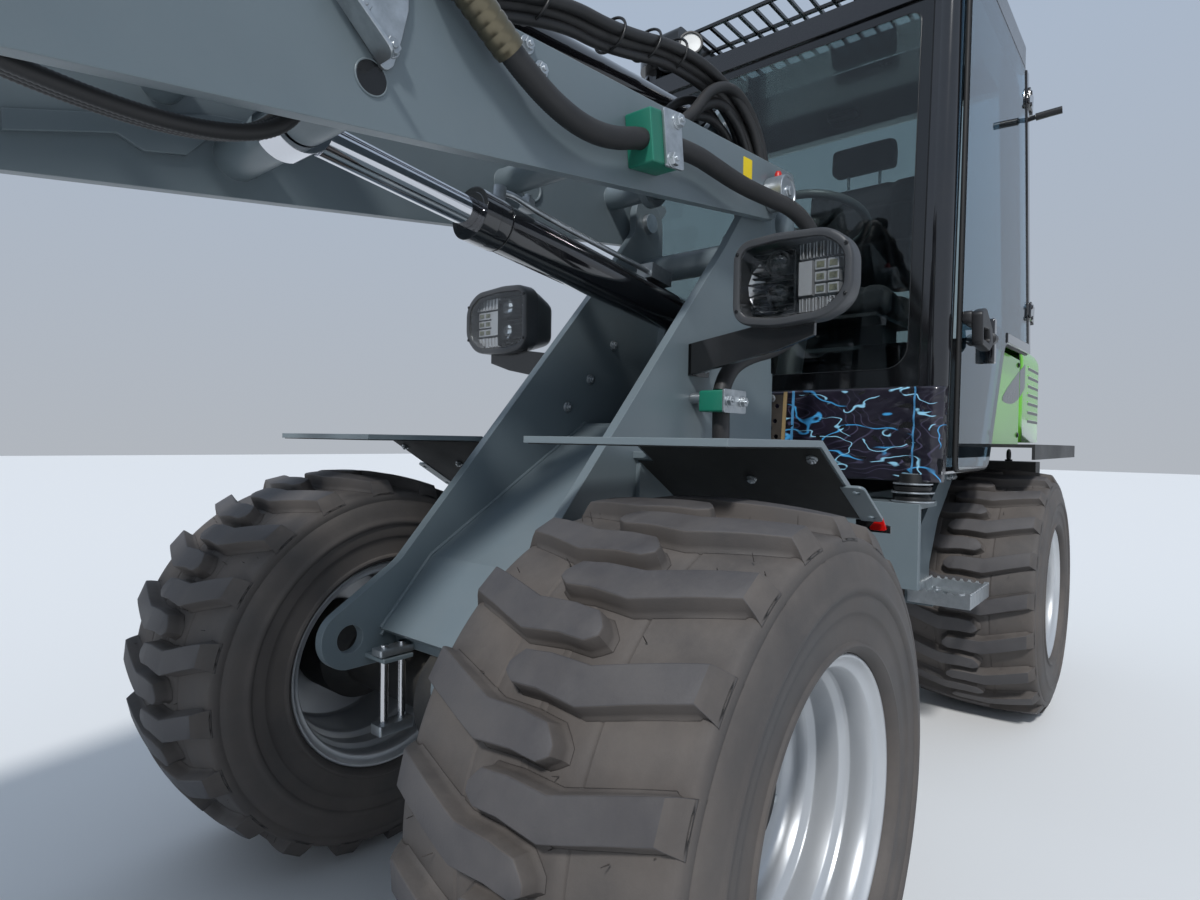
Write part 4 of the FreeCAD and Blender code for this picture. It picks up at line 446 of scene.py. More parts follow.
# From the outer lip along the visible face to the inner lip, as (place across, radius)
RIM_FACE = [(176.0, 210.0), (180.5, 210.6), (182.6, 208.6), (182.2, 205.6), (179.0, 203.4), (174.0, 201.0),
    (170.6, 196.6), (169.0, 191.5), (165.0, 189.0), (158.0, 188.0), (146.0, 187.4), (141.0, 188.9), (136.0, 190.2),
    (131.0, 188.6), (127.5, 184.0), (123.0, 180.2), (116.0, 179.0), (98.0, 178.6), (93.0, 180.0), (88.5, 180.2),
    (84.0, 176.0), (80.0, 170.2), (74.0, 167.4), (66.0, 166.4), (58.0, 165.0), (52.0, 160.5), (47.5, 152.0),
    (45.0, 138.0), (43.5, 118.0), (42.5, 95.0), (42.0, 75.5)]
RIM_BACK = [(36.0, 75.5), (36.5, 118.0), (37.0, 150.0), (34.0, 160.0), (28.0, 165.4), (0.0, 166.0), (-66.0, 166.4),
    (-74.0, 167.4), (-80.0, 170.2), (-84.0, 176.0), (-88.5, 180.2), (-93.0, 180.0), (-98.0, 178.6), (-116.0, 179.0),
    (-123.0, 180.2), (-127.5, 184.0), (-131.0, 188.6), (-136.0, 190.2), (-141.0, 188.9), (-146.0, 187.4),
    (-158.0, 188.0), (-165.0, 189.0), (-169.0, 191.5), (-170.6, 196.6), (-174.0, 201.0), (-179.0, 203.4),
    (-182.2, 205.6), (-182.6, 208.6), (-180.5, 210.6), (-176.0, 210.0), (-172.0, 202.0), (172.0, 202.0)]
NUT_CIRCLE = 0.1025
NUT_COUNT = 8
NUT_HALF = 0.0135


def bolted(name, body, places, along, height, half_flat, across=(0, 0, 1), stud=0.45, washer=1.35, material=None):
    """Nuts or bolt heads standing along a direction, each on a washer with its stud end."""
    along = Vector(along).normalized()
    right = along.cross(Vector(across)).normalized()
    up = right.cross(along).normalized()
    # (radius, foot, head, sides, height of the shoulder)
    drums = [(half_flat * 1.155, 0.002, height, 6, height * 0.12)]
    if washer:
        drums.insert(0, (half_flat * washer, -0.001, 0.0025, 20, 0.0008))
    if stud:
        drums.append((half_flat * stud, height * 0.9, height * 1.35, 12, 0.001))
    parts = []
    for place in places:
        for radius, low, high, sides, shoulder in drums:
            stations = ((low, radius), (high - shoulder, radius), (high, radius - shoulder))
            parts.append(lofted([circle(place + along * reach, size, sides, right, up) for reach, size in stations]))
    return new_piece(name, body, material or zinc, joined(parts), smooth=30.0)


silver_paint = finish("silver paint", (203, 205, 207), (190, 193, 196), 0.33, metallic=0.5, dust=0.10, radius=0.003,
    grain=0.05)
zinc = finish("zinc plating", (196, 201, 204), (166, 172, 176), 0.36, metallic=0.9, clouds=30.0, grain=0.2, dust=0.1,
    radius=0.0006)

for corner, wheel_x, side in WHEELS:
    centre = at(wheel_x, side * WHEEL_Y, WHEEL_Z)
    profile = [(y / 1000, radius / 1000) for y, radius in RIM_FACE + RIM_BACK]
    rim = new_piece(f"{corner}_rim_dish", f"wheel_{corner}", silver_paint, lathe(profile, RIM_SEGMENTS, centre, side,
        closed=True), smooth=30.0)
    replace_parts(rim, f"rim_{corner}")
    nut_places = circle(centre + Vector((0, side * 0.0425, 0)), NUT_CIRCLE, 2 * NUT_COUNT, (1, 0, 0))[1::2]
    bolted(f"{corner}_wheel_nuts", f"wheel_{corner}", nut_places, (0, side, 0), 0.018, NUT_HALF)




# Tower: two plates cut from 20 mm steel with a folded front sheet and a belly welded between them,
# bored ears at the foot and round caps bolted over the pins. All of it is sprayed blue grey, and its
# colour is drawn lighter along the cut edges.
def dress(material, *names):
    """Gives CAD nodes their finish."""
    for name in names:
        for slot in nodes[name].material_slots:
            slot.material = material


def rounded(corners, steps=6):
    """A closed outline of (x, y) points from corners of (x, y, radius)."""
    outline = []
    for index, (x, y, radius) in enumerate(corners):
        here = Vector((x, y))
        if not radius:
            outline.append(here)
            continue
        into = (Vector(corners[index - 1][:2]) - here).normalized()
        out = (Vector(corners[(index + 1) % len(corners)][:2]) - here).normalized()
        half = into.angle(out) / 2
        middle = here + (into + out).normalized() * (radius / math.sin(half))
        start = here + into * (radius / math.tan(half)) - middle
        sweep = start.angle_signed(here + out * (radius / math.tan(half)) - middle)
        for step in range(steps + 1):
            turn = -sweep * step / steps
            outline.append(middle + Vector((start.x * math.cos(turn) - start.y * math.sin(turn),
                start.x * math.sin(turn) + start.y * math.cos(turn))))
    return outline


def rounded_box(low_x, low_y, high_x, high_y, radius):
    return rounded([(low_x, low_y, radius), (high_x, low_y, radius), (high_x, high_y, radius), (low_x, high_y, radius)])


def cut_plate(name, body, material, outlines, place, thickness, edge=0.0008):
    """A flat plate with softly broken edges. The first outline is its edge and the others are holes.

    place holds the plate's origin and its two directions. The plate is as thick to both sides."""
    curve = bpy.data.curves.new(name, "CURVE")
    curve.dimensions = "2D"
    curve.fill_mode = "BOTH"
    curve.extrude = thickness / 2 - edge
    curve.bevel_depth = edge
    curve.bevel_resolution = 1
    curve.offset = -edge
    for outline in outlines:
        spline = curve.splines.new("POLY")
        spline.points.add(len(outline) - 1)
        for point, (x, y) in zip(spline.points, outline):
            point.co = (x, y, 0, 1)
        spline.use_cyclic_u = True
    drawn = bpy.data.objects.new(name, curve)
    mesh = bpy.data.meshes.new_from_object(drawn)
    bpy.data.objects.remove(drawn)
    along, up = (Vector(direction).normalized() for direction in place[1:])
    out = along.cross(up)
    mesh.transform(Matrix([(along[row], up[row], out[row], place[0][row]) for row in range(3)] + [(0, 0, 0, 1)]))
    mesh.materials.clear()
    mesh.materials.append(material)
    mesh.polygons.foreach_set("use_smooth", [True] * len(mesh.polygons))
    mesh.set_sharp_from_angle(angle=math.radians(35))
    piece = bpy.data.objects.new(name, mesh)
    bpy.context.scene.collection.objects.link(piece)
    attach(piece, body)
    return piece


def tube_mesh(path, radius, sides=12, radii=None, capped=True):
    """Points and faces of a round tube along a path of points. radii gives a radius for each point."""
    rings = []
    up = None
    for index, point in enumerate(path):
        along = (path[min(index + 1, len(path) - 1)] - path[max(index - 1, 0)]).normalized()
        up = (up or along.orthogonal()).normalized()
        up = (up - along * up.dot(along)).normalized()
        rings.append(circle(point, radii[index] if radii else radius, sides, up, along.cross(up)))
    return lofted(rings, 1, capped, capped)


def weld(runs, radius=0.0045):
    """Weld beads along runs of corner points: a low round bead with the ripples of the torch."""
    parts = []
    ripple = 0.006
    for run in runs:
        path = []
        radii = []
        travelled = 0.0
        for start, end in zip(run, run[1:]):
            length = (end - start).length
            steps = max(2, int(length / (ripple / 2)))
            for step in range(steps):
                path.append(start.lerp(end, step / steps))
                radii.append(radius * (1.0 if int(travelled / (ripple / 2)) % 2 else 0.88))
                travelled += length / steps
        path.append(run[-1])
        radii.append(radius)
        parts.append(tube_mesh(path, radius, 8, radii))
    return joined(parts)


grey_paint = finish("blue grey paint", (110, 122, 127), (103, 115, 121), 0.36, dust=0.10, edge=(134, 145, 149),
    radius=0.0022)
dress(grey_paint, "front_tower", "tower_plate_left", "tower_plate_right")
dress(zinc, "tower_pins")

TOWER_INNER_Y = 0.155
SHEET_LINE = [(0.455, 0.903), (0.905, 0.632), (1.015, 0.510)]
seams = []
for side in (-1, 1):
    for lift in (0.001, -0.0125):
        seams.append([at(x, side * (TOWER_INNER_Y - 0.001), z + lift) for x, z in SHEET_LINE])
    seams.append([at(0.112, side * TOWER_INNER_Y, 0.896), at(0.44, side * TOWER_INNER_Y, 0.896)])
new_piece("tower_welds", "front_frame", grey_paint, weld(seams), smooth=60.0)

# Hexagon bolts with washers on the inner face of the right plate, where a cable is clipped
bolt_places = [at(0.439, -0.1545, 1.012), at(0.350, -0.1545, 1.105), at(0.520, -0.1545, 0.940)]
bolted("tower_bolts", "front_frame", bolt_places, (0, 1, 0), 0.010, 0.0085, stud=0.5, washer=1.5)

# Two plated guide rods in a bracket below the folded sheet, with an end block
GUIDE_Y = -0.112
guide_rods = [tube_mesh([at(x, GUIDE_Y, z) for z in (0.492, 0.49, 0.34)], 0.0075, 20) for x in (0.998, 1.034)]
polished = finish("polished plating", (205, 206, 208), (196, 197, 200), 0.1, metallic=1.0, grain=0.0)
new_piece("guide_rods", "front_frame", polished, joined(guide_rods))
for name, low, high in (("guide_bracket", 0.474, 0.486), ("guide_end_block", 0.334, 0.352)):
    cut_plate(name, "front_frame", zinc, [rounded_box(-0.035, -0.016, 0.035, 0.016, 0.004)],
        (at(1.016, GUIDE_Y, (low + high) / 2), (1, 0, 0), (0, 1, 0)), high - low)
cut_plate("guide_bracket_arm", "front_frame", grey_paint,
    [[(-0.03, 0.0), (0.03, 0.0), (0.03, 0.062), (-0.03, 0.062)]],
    (at(1.016, -0.156, 0.467), (1, 0, 0), (0, 1, 0)), 0.008)




# Front fenders: bent steel sheets in the frame's grey, bolted to the tower. Their underside carries a
# thin dark sheet, painted shade for the shadow beneath them. The axle behind them is a cast housing in black.
black_paint = finish("black paint", (24, 25, 27), (19, 20, 22), 0.24, dust=0.06, coat=0.5)
painted_underside_shade = finish("painted_underside_shade", (34, 36, 36), (26, 28, 28), 0.75, grain=0.5, grain_scale=500.0, dust=0.1)
black_iron = finish("black iron", (40, 41, 42), (30, 31, 32), 0.6, dust=0.25, grain=0.5, grain_scale=160.0)
red_lens_back = finish("red reflector", (206, 18, 14), (170, 10, 8), 0.12, grain=0.0)
dress(grey_paint, "front_fender_left", "front_fender_right")
dress(black_iron, "front_axle")

SIDES = ((1, "left"), (-1, "right"))
FENDER_TOP = [(0.742, 0.219), (0.742, 0.556), (1.006, 0.556), (1.006, 0.219)]
FENDER_SLOPE = [(0.004, 0.219), (0.004, 0.556), (0.231, 0.556), (0.231, 0.182), (0.060, 0.182), (0.060, 0.219)]


def round_hole(x, y, radius, steps=16):
    turns = [2 * math.pi * step / steps for step in range(steps)]
    return [(x + radius * math.cos(turn), y + radius * math.sin(turn)) for turn in turns]


def front_plane(x):
    """The place of a plate that faces forward at x. Its outline is in y and z."""
    return at(x, 0, 0), (0, 1, 0), (0, 0, 1)


for side, word in SIDES:
    # Thin dark sheets under the fender's top and its sloping apron: painted shade for the shadow beneath the fender
    cut_plate(f"fender_shade_top_{word}", "front_frame", painted_underside_shade, [[(x, side * y) for x, y in FENDER_TOP]],
        (at(0, 0, 0.8560), (1, 0, 0), (0, 1, 0)), 0.0014, 0.0004)
    slope = Vector((0.530 - 0.734, 0, 0.733 - 0.857)).normalized()
    slope_plane = (at(0.7345, 0, 0.8562), slope, (0, 1, 0))
    cut_plate(f"fender_shade_slope_{word}", "front_frame", painted_underside_shade,
        [[(reach, side * y) for reach, y in FENDER_SLOPE]], slope_plane, 0.0014, 0.0004)
    # A light tab at the apron's outer foot with two holes, the sheet's nuts, and a small reflector
    tab = rounded([(0.118, side * 0.550, 0), (0.118, side * 0.588, 0.010), (0.236, side * 0.588, 0.010),
        (0.236, side * 0.550, 0)][::side])
    holes = [round_hole(reach, side * 0.572, 0.0055) for reach in (0.134, 0.220)]
    cut_plate(f"fender_tab_{word}", "front_frame", grey_paint, [tab] + holes, slope_plane, 0.005)
    nuts = [at(0.7345, side * 0.535, 0.8550) + slope * 0.030, at(0.7345, side * 0.400, 0.8550) + slope * 0.105]
    bolted(f"fender_nuts_{word}", "front_frame", nuts, (0.519, 0, -0.855), 0.007, 0.0065, across=(0, 1, 0))
    cut_plate(f"fender_reflector_{word}", "front_frame", red_lens_back, [rounded([(side * 0.590, 0.716, 0.004),
        (side * 0.556, 0.716, 0.004), (side * 0.580, 0.744, 0.004)][::side])], front_plane(0.522), 0.005, 0.001)
    cut_plate(f"reflector_plate_{word}", "front_frame", black_paint, [[(side * 0.535, 0.712), (side * 0.594, 0.712),
        (side * 0.594, 0.724), (side * 0.535, 0.740)]], front_plane(0.517), 0.004)




# Headlamps: moulded graphite housings with a thick bezel, a clear cover, a projector lens in the
# inner half and bright ribs with small diode cells in the outer half. A bent plate arm carries each
# one from the tower.
LAMP_PLANE_X = 0.530
LAMP_MIDDLE_Y = 0.407
LAMP_MIDDLE_Z = 1.168
LAMP_HALF_WIDTH = 0.118
LAMP_HALF_HEIGHT = 0.088
LAMP_CORNERS = [(-1, -0.86, 0.040), (-0.25, -1, 0.200), (0.66, -0.90, 0.070), (1, -0.42, 0.060), (1, 0.55, 0.060),
    (0.62, 0.93, 0.070), (-0.25, 1, 0.200), (-1, 0.93, 0.040)]
# From the floor of the bowl over the bezel to the back: (x, inset, scale)
LAMP_SHELL = [(0.482, 0.026, 1.0), (0.487, 0.020, 1.0), (0.518, 0.0172, 1.0), (0.5255, 0.0160, 1.0),
    (0.5290, 0.0146, 1.0), (0.5300, 0.0122, 1.0), (0.5300, 0.0062, 1.0), (0.5288, 0.0026, 1.0), (0.5260, 0.0005, 1.0),
    (0.5220, 0.0, 1.0), (0.4900, 0.0, 1.0), (0.4862, 0.0014, 1.0), (0.4845, 0.0044, 1.0), (0.4560, 0.0044, 0.92),
    (0.4140, 0.0044, 0.775), (0.4040, 0.0060, 0.74), (0.4000, 0.0120, 0.72)]


def lamp_ring(side, x, inset, scale=1.0):
    """Outline of a lamp in the plane x, drawn in by inset, as points."""
    half_width = (LAMP_HALF_WIDTH - inset) * scale
    half_height = (LAMP_HALF_HEIGHT - inset) * scale
    corners = [(across * half_width, up * half_height, max(0.006, (radius - inset) * scale)) for across, up,
        radius in LAMP_CORNERS]
    return [at(x, side * (LAMP_MIDDLE_Y + point.x), LAMP_MIDDLE_Z + point.y) for point in rounded(corners, 9)]


def block(low, high, edge=0.0):
    """Points and faces of a block with its front edges drawn in, such as a rib or a fin."""
    rings = []
    for x, inset in ((low[0], 0.0), (high[0], edge)):
        y0, y1, z0, z1 = low[1] + inset, high[1] - inset, low[2] + inset, high[2] - inset
        rings.append([(x, y0, z0), (x, y1, z0), (x, y1, z1), (x, y0, z1)])
    return lofted(rings)


def side_plane(y):
    """The place of a plate that faces sideways at y. Its outline is in x and z."""
    return at(0, y, 0), (1, 0, 0), (0, 0, 1)


graphite = finish("graphite plastic", (62, 64, 67), (52, 54, 57), 0.42, grain=0.18, grain_scale=1400.0, dust=0.10,
    radius=0.0012)
lamp_black = finish("lamp black", (22, 23, 25), (16, 17, 18), 0.25, grain=0.0)
reflector = finish("reflector", (232, 233, 236), (214, 216, 220), 0.22, metallic=0.45, grain=0.0)


def clear(name, tint, roughness=0.0, shade=0.85, weight=1.0):
    """Glass or clear plastic. What lies behind it is lit through it, tinted less than it looks."""
    material, tree, shader = new_material(name, Roughness=roughness, Transmission_Weight=weight, IOR=1.45)
    tint = colour(*tint)
    second = tuple(0.96 * value for value in tint[:3]) + (1.0,)
    smear = placed(tree, cloud_group, Colour=tint, Second=second, Scale=1.5)
    tree.links.new(smear["Colour"], shader["Base Color"])
    shadow_ray = add(tree, "LightPath").outputs["Is Shadow Ray"]
    tree.links.new(ranged(tree, shadow_ray, 0.0, 1.0, 1.0, 1.0 - shade), shader["Alpha"])
    return material


lamp_glass = clear("lamp cover", (244, 247, 248))
diode, diode_tree, diode_shader = new_material("diode", Roughness=0.3)
diode_cloud = placed(diode_tree, cloud_group, Colour=colour(150, 152, 128), Second=colour(96, 100, 90), Scale=160.0)
diode_tree.links.new(diode_cloud["Colour"], diode_shader["Base Color"])

LAMP_COVER = [(0.5238, 0.0168, 1.0), (0.5262, 0.0166, 1.0), (0.5276, 0.0166, 0.85), (0.5288, 0.0166, 0.5),
    (0.5292, 0.0166, 0.1)]
LAMP_SCREWS = [(-0.1075, 0.058), (-0.1075, -0.052), (0.1055, 0.046), (0.1055, -0.042)]
LAMP_ARM = [(0.175, 1.000), (0.377, 1.040), (0.447, 1.062), (0.447, 1.092), (0.347, 1.092), (0.175, 1.066)]
for side, word in SIDES:
    def in_lamp(x, across, up):
        return at(x, side * (LAMP_MIDDLE_Y + across), LAMP_MIDDLE_Z + up)

    shell = new_piece(f"lamp_housing_{word}", "front_frame", graphite,
        lofted([lamp_ring(side, *station) for station in LAMP_SHELL], side), smooth=34.0)
    # Inside: a black field with fins in the inner half, a bright field with ribs in the outer half
    fins = [block(in_lamp(0.484, 0.0025, -0.060), in_lamp(0.512, 0.0055, 0.056))]
    for step in range(11):
        up = step * 0.011 - 0.055
        fins.append(block(in_lamp(0.484, -0.084, up - 0.0014), in_lamp(0.508, 0.004, up + 0.0014), 0.0003))
    new_piece(f"lamp_fins_{word}", "front_frame", lamp_black, joined(fins), smooth=0)
    # Two projectors, one above the other: each a dark collar round a thick domed lens
    collars = []
    domes = []
    for up, size in ((0.033, 0.0205), (-0.027, 0.0180)):
        centre = in_lamp(0.484, -0.030, up)
        collar = ((0.0, size + 0.004), (0.026, size + 0.004), (0.029, size + 0.003), (0.029, size), (0.022, size))
        collars.append(lofted([circle(centre + Vector((reach, 0, 0)), radius, 40) for reach, radius in collar],
            closed_end=False))
        dome = []
        for angle in (0, 15, 30, 45, 60, 75, 88):
            turn = math.radians(angle)
            dome.append(circle(centre + Vector((0.020 + 0.016 * math.sin(turn), 0, 0)), size * math.cos(turn), 40))
        domes.append(lofted(dome))
    new_piece(f"lamp_collars_{word}", "front_frame", lamp_black, joined(collars), smooth=34.0)
    new_piece(f"lamp_projectors_{word}", "front_frame", lamp_glass, joined(domes), smooth=60.0)
    # Mirror facets that lean inwards round the projectors
    facets = []
    for angle in (135, 160, 185, 210, 235, 260, 285):
        turn = math.radians(angle)
        out = Vector((0, side * math.cos(turn), math.sin(turn)))
        across = Vector((1, 0, 0)).cross(out)
        low = in_lamp(0.484, -0.040, -0.006) + out * 0.032
        high = in_lamp(0.504, -0.040, -0.006) + out * (0.054 if angle < 250 else 0.050)
        front = [low - across * 0.004, low + across * 0.004, high + across * 0.010, high - across * 0.010]
        facets.append(lofted([front, [point - Vector((0.002, 0, 0)) for point in front]], -1))
    new_piece(f"lamp_mirrors_{word}", "front_frame", reflector, joined(facets), smooth=0)
    # Bright field: slanted back wall in steps, and six cells with a diode at the bottom of each
    bright = [block(in_lamp(0.483, 0.006, -0.046), in_lamp(0.487, 0.094, 0.050)),
        block(in_lamp(0.487, 0.007, -0.034), in_lamp(0.506, 0.036, 0.032), 0.002)]
    for step in range(14):
        across = 0.008 + step * 0.0064
        taper = max(0.0, step - 8) * 0.0042
        for low, high in ((-0.062 + taper, -0.036), (0.034, 0.064 - 0.6 * taper)):
            bright.append(block(in_lamp(0.486, across, low),
                in_lamp(0.503 + 0.003 * (step % 2), across + 0.0050, high), 0.0014))
    cells = []
    for row in range(3):
        for column in range(2):
            for parts, low_x, high_x, half_y, half_z, edge in (
                    (bright, 0.492, 0.506, 0.0110, 0.0100, 0.0012), (cells, 0.5055, 0.5068, 0.0075, 0.0060, 0.0008)):
                across = 0.050 + column * 0.024
                up = row * 0.022 - 0.023
                parts.append(block(in_lamp(low_x, across - half_y, up - half_z),
                    in_lamp(high_x, across + half_y, up + half_z), edge))
    new_piece(f"lamp_ribs_{word}", "front_frame", reflector, joined(bright), smooth=0)
    new_piece(f"lamp_cells_{word}", "front_frame", diode, joined(cells), smooth=0)
    # Cover glass, slightly domed, and the four screws in the bezel
    cover = new_piece(f"lamp_cover_{word}", "front_frame", lamp_glass,
        lofted([lamp_ring(side, *station) for station in LAMP_COVER], side), smooth=50.0)
    bolted(f"lamp_screws_{word}", "front_frame", [in_lamp(0.5296, across, up) for across, up in LAMP_SCREWS],
        (1, 0, 0), 0.0012, 0.0028, stud=0, washer=1.3, material=lamp_black)
    cut_plate(f"lamp_arm_{word}", "front_frame", black_paint, [[(side * y, z) for y, z in LAMP_ARM]],
        front_plane(0.500), 0.012)
    cut_plate(f"lamp_foot_{word}", "front_frame", black_paint, [rounded([(0.434, 1.000, 0.008), (0.506, 1.000, 0),
        (0.506, 1.066, 0), (0.434, 1.066, 0.008)])], side_plane(side * 0.179), 0.008)
    bolted(f"lamp_bolts_{word}", "front_frame", [at(0.450, side * 0.183, z) for z in (1.018, 1.048)], (0, side, 0),
        0.008, 0.0065)
    if side > 0:
        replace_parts(shell, "headlamps")
        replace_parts(cover, "headlamp_lenses")




# Boom: two plates cut from 20 mm steel with cross tubes welded between them, boxed by a narrow strip
# on the inside, and carried on a pin whose cap is held by one bolt. A plated bracket for the hoses
# is bolted on outside.
dress(grey_paint, "boom")
dress(zinc, "tilt_base_pin")
BOOM_FACE_Y = 0.205
PLATE_INSIDE_Y = 0.185

# Stiffening strips on the inner faces, with the round hole that the lift cylinder's pin is greased through
STRIP_LOW = [(1.549, 1.242), (1.426, 1.281), (1.392, 1.267), (1.337, 1.279), (1.309, 1.312), (1.291, 1.326),
    (1.160, 1.343)]
STRIP_HIGH = [(1.160, 1.374), (1.300, 1.352), (1.408, 1.314), (1.549, 1.270)]
for side, word in SIDES:
    cut_plate(f"boom_strip_{word}", "boom", grey_paint, [[Vector(point) for point in STRIP_LOW + STRIP_HIGH]],
        side_plane(side * (PLATE_INSIDE_Y - 0.004)), 0.008)

# Port in the left plate where a hose passes: a thin black disc in a grey rim, painted shade for the dark inside of the
# hole
port = at(1.265, BOOM_FACE_Y + 0.0006, 1.299)
cut_plate("boom_port_hole_shade", "boom", lamp_black, [round_hole(0, 0, 0.0205, 48)], (port, (1, 0, 0), (0, 0, 1)), 0.0016,
    0.0004)
new_piece("boom_port_edge", "boom", grey_paint, tube_mesh(circle(port, 0.0215, 48, (1, 0, 0), closed=True), 0.0013, 8),
    smooth=60.0)

for side, word in SIDES:
    bolted(f"boom_bolts_{word}", "boom", [at(1.007, side * BOOM_FACE_Y, 1.453), at(0.977, side * BOOM_FACE_Y, 1.428)],
        (0, side, 0), 0.0085, 0.0085, stud=0.5, washer=1.6)

# Welds where the cross tubes meet the plates
seams = []
for x, z in ((0.62, 1.437), (1.262, 1.300), (1.66, 1.262)):
    for side in (-1, 1):
        seams.append(circle(at(x, side * (PLATE_INSIDE_Y - 0.001), z), 0.030, 24, (1, 0, 0), closed=True))
new_piece("boom_welds", "boom", grey_paint, weld(seams, 0.0040), smooth=60.0)

# Pivot cap: a disc over the pin's end with a hexagon bolt, and a grease cap beside it
for side, word in SIDES:
    cap = [(0.0, 0.0400), (0.004, 0.0400), (0.0055, 0.0385), (0.0055, 0.0330), (0.0035, 0.0320), (0.0035, 0.0001)]
    new_piece(f"pivot_cap_{word}", "front_frame", zinc, lathe(cap, 48,
        at(0.208, side * 0.2462, 1.450), side), smooth=30.0)
    bolted(f"pivot_bolt_{word}", "front_frame", [at(0.208, side * 0.2495, 1.450)], (0, side, 0), 0.009, 0.0105,
        stud=0)

red_plastic = finish("red plastic", (196, 34, 26), (182, 28, 22), 0.4, grain=0.1)
new_piece("grease_cap", "boom", red_plastic, tube_mesh([at(0.205, 0.222, 1.486), at(0.204, 0.222, 1.498),
    at(0.2035, 0.222, 1.504)], 0.008, 20, [0.008, 0.0085, 0.006]), smooth=40.0)

yellow_film = finish("yellow film", (246, 214, 24), (238, 204, 20), 0.35, grain=0.0, dust=0.05)
cut_plate("blank_sign", "boom", yellow_film, [rounded([(0.302, 1.440, 0.002), (0.342, 1.437, 0.002),
    (0.342, 1.501, 0.002), (0.302, 1.504, 0.002)])], side_plane(BOOM_FACE_Y + 0.0004), 0.0006, 0.0001)

# Domed grey boss behind the pivot, on a short plate from the tower's head
dome = [(0.150, 0.038), (0.160, 0.038), (0.169, 0.036), (0.176, 0.030), (0.180, 0.021), (0.1815, 0.011),
    (0.182, 0.0002)]
new_piece("tower_boss", "front_frame", grey_paint, lathe(dome, 48, at(0.042, 0.0, 1.426)), smooth=40.0)
cut_plate("tower_boss_plate", "front_frame", grey_paint, [rounded([(0.004, 1.392, 0.02), (0.165, 1.385, 0),
    (0.165, 1.475, 0), (0.004, 1.460, 0.02)])], side_plane(0.150), 0.010)


# Hoses: black rubber hydraulic hose in a spiral sleeve, crimped into steel ferrules. One runs along
# the outside of the boom through a green clamp and down to the tower. Others arch over the pivot
# between the boom and the tower, tied together with cable ties.
hose_rubber = finish("hose rubber", (40, 40, 41), (30, 30, 31), 0.55, grain=0.35, grain_scale=700.0, dust=0.25,
    dust_colour=(96, 90, 84))
tie_black = finish("cable tie", (20, 20, 21), (16, 16, 17), 0.4)
clamp_green = finish("green clamp plastic", (24, 122, 98), (20, 108, 88), 0.42, grain=0.15, dust=0.15,
    edge=(60, 160, 136))
crimp_steel = finish("crimped steel", (120, 112, 92), (96, 92, 82), 0.35, metallic=0.85, grain=0.2)


SLEEVE_RIB = 0.0007
HOSE_STEP = 0.0026


def routed(points):
    """Evenly spaced points along the smooth line that a hose takes through its route."""
    curve = bpy.data.curves.new("route", "CURVE")
    curve.dimensions = "3D"
    spline = curve.splines.new("NURBS")
    spline.points.add(len(points) - 1)
    for target, point in zip(spline.points, points):
        target.co = (*point, 1)
    spline.order_u = 3
    spline.use_endpoint_u = True
    spline.resolution_u = 24
    drawn = bpy.data.objects.new("route", curve)
    mesh = bpy.data.meshes.new_from_object(drawn)
    line = [vertex.co.copy() for vertex in mesh.vertices]
    bpy.data.objects.remove(drawn)
    bpy.data.meshes.remove(mesh)
    even = [line[0]]
    spare = 0.0
    for start, end in zip(line, line[1:]):
        length = (end - start).length
        reach = HOSE_STEP - spare
        while reach <= length:
            even.append(start.lerp(end, reach / length))
            reach += HOSE_STEP
        spare = length - (reach - HOSE_STEP)
    even.append(line[-1])
    return even


def hose(name, body, route, radius, start=None):
    """A hose with a ribbed sleeve. It rides on a body, or stands alone where it is drawn; when start is given, its
    placement is baked into its points.
    """
    path = routed([at(*place) for place in route])
    radii = [radius - (SLEEVE_RIB if index % 2 else 0.0) for index in range(len(path))]
    piece = new_piece(name, body, hose_rubber, tube_mesh(path, radius, 18, radii), smooth=60.0)
    if start:
        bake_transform(piece)
    return piece


BOOM_ROUTE = [(1.238, 0.150, 1.418), (1.240, 0.152, 1.470), (1.205, 0.195, 1.494), (1.162, 0.237, 1.462),
    (1.110, 0.239, 1.428), (1.055, 0.239, 1.394), (0.985, 0.239, 1.364), (0.910, 0.239, 1.352),
    (0.835, 0.239, 1.362), (0.765, 0.239, 1.389), (0.680, 0.239, 1.404)]
PIVOT_ROUTE = [(0.681, 0.239, 1.404), (0.600, 0.239, 1.416), (0.520, 0.240, 1.412), (0.420, 0.243, 1.406),
    (0.310, 0.250, 1.408), (0.205, 0.268, 1.405), (0.118, 0.280, 1.360), (0.098, 0.282, 1.260),
    (0.150, 0.276, 1.150), (0.262, 0.262, 1.078), (0.380, 0.244, 1.050), (0.452, 0.234, 1.010),
    (0.466, 0.232, 0.966)]
TOWER_ROUTE = [(0.466, 0.232, 0.968), (0.466, 0.232, 0.905), (0.462, 0.231, 0.845), (0.452, 0.228, 0.780),
    (0.442, 0.218, 0.735), (0.436, 0.206, 0.705), (0.436, 0.176, 0.705)]
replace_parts(hose("boom_hose_run", "boom", BOOM_ROUTE, 0.0185), "boom_hose")
hose("pivot_hose", None, PIVOT_ROUTE, 0.0185, at(0.60, 0.24, 1.42))
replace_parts(hose("tower_hose_run", "front_frame", TOWER_ROUTE, 0.0185), "tower_hose")

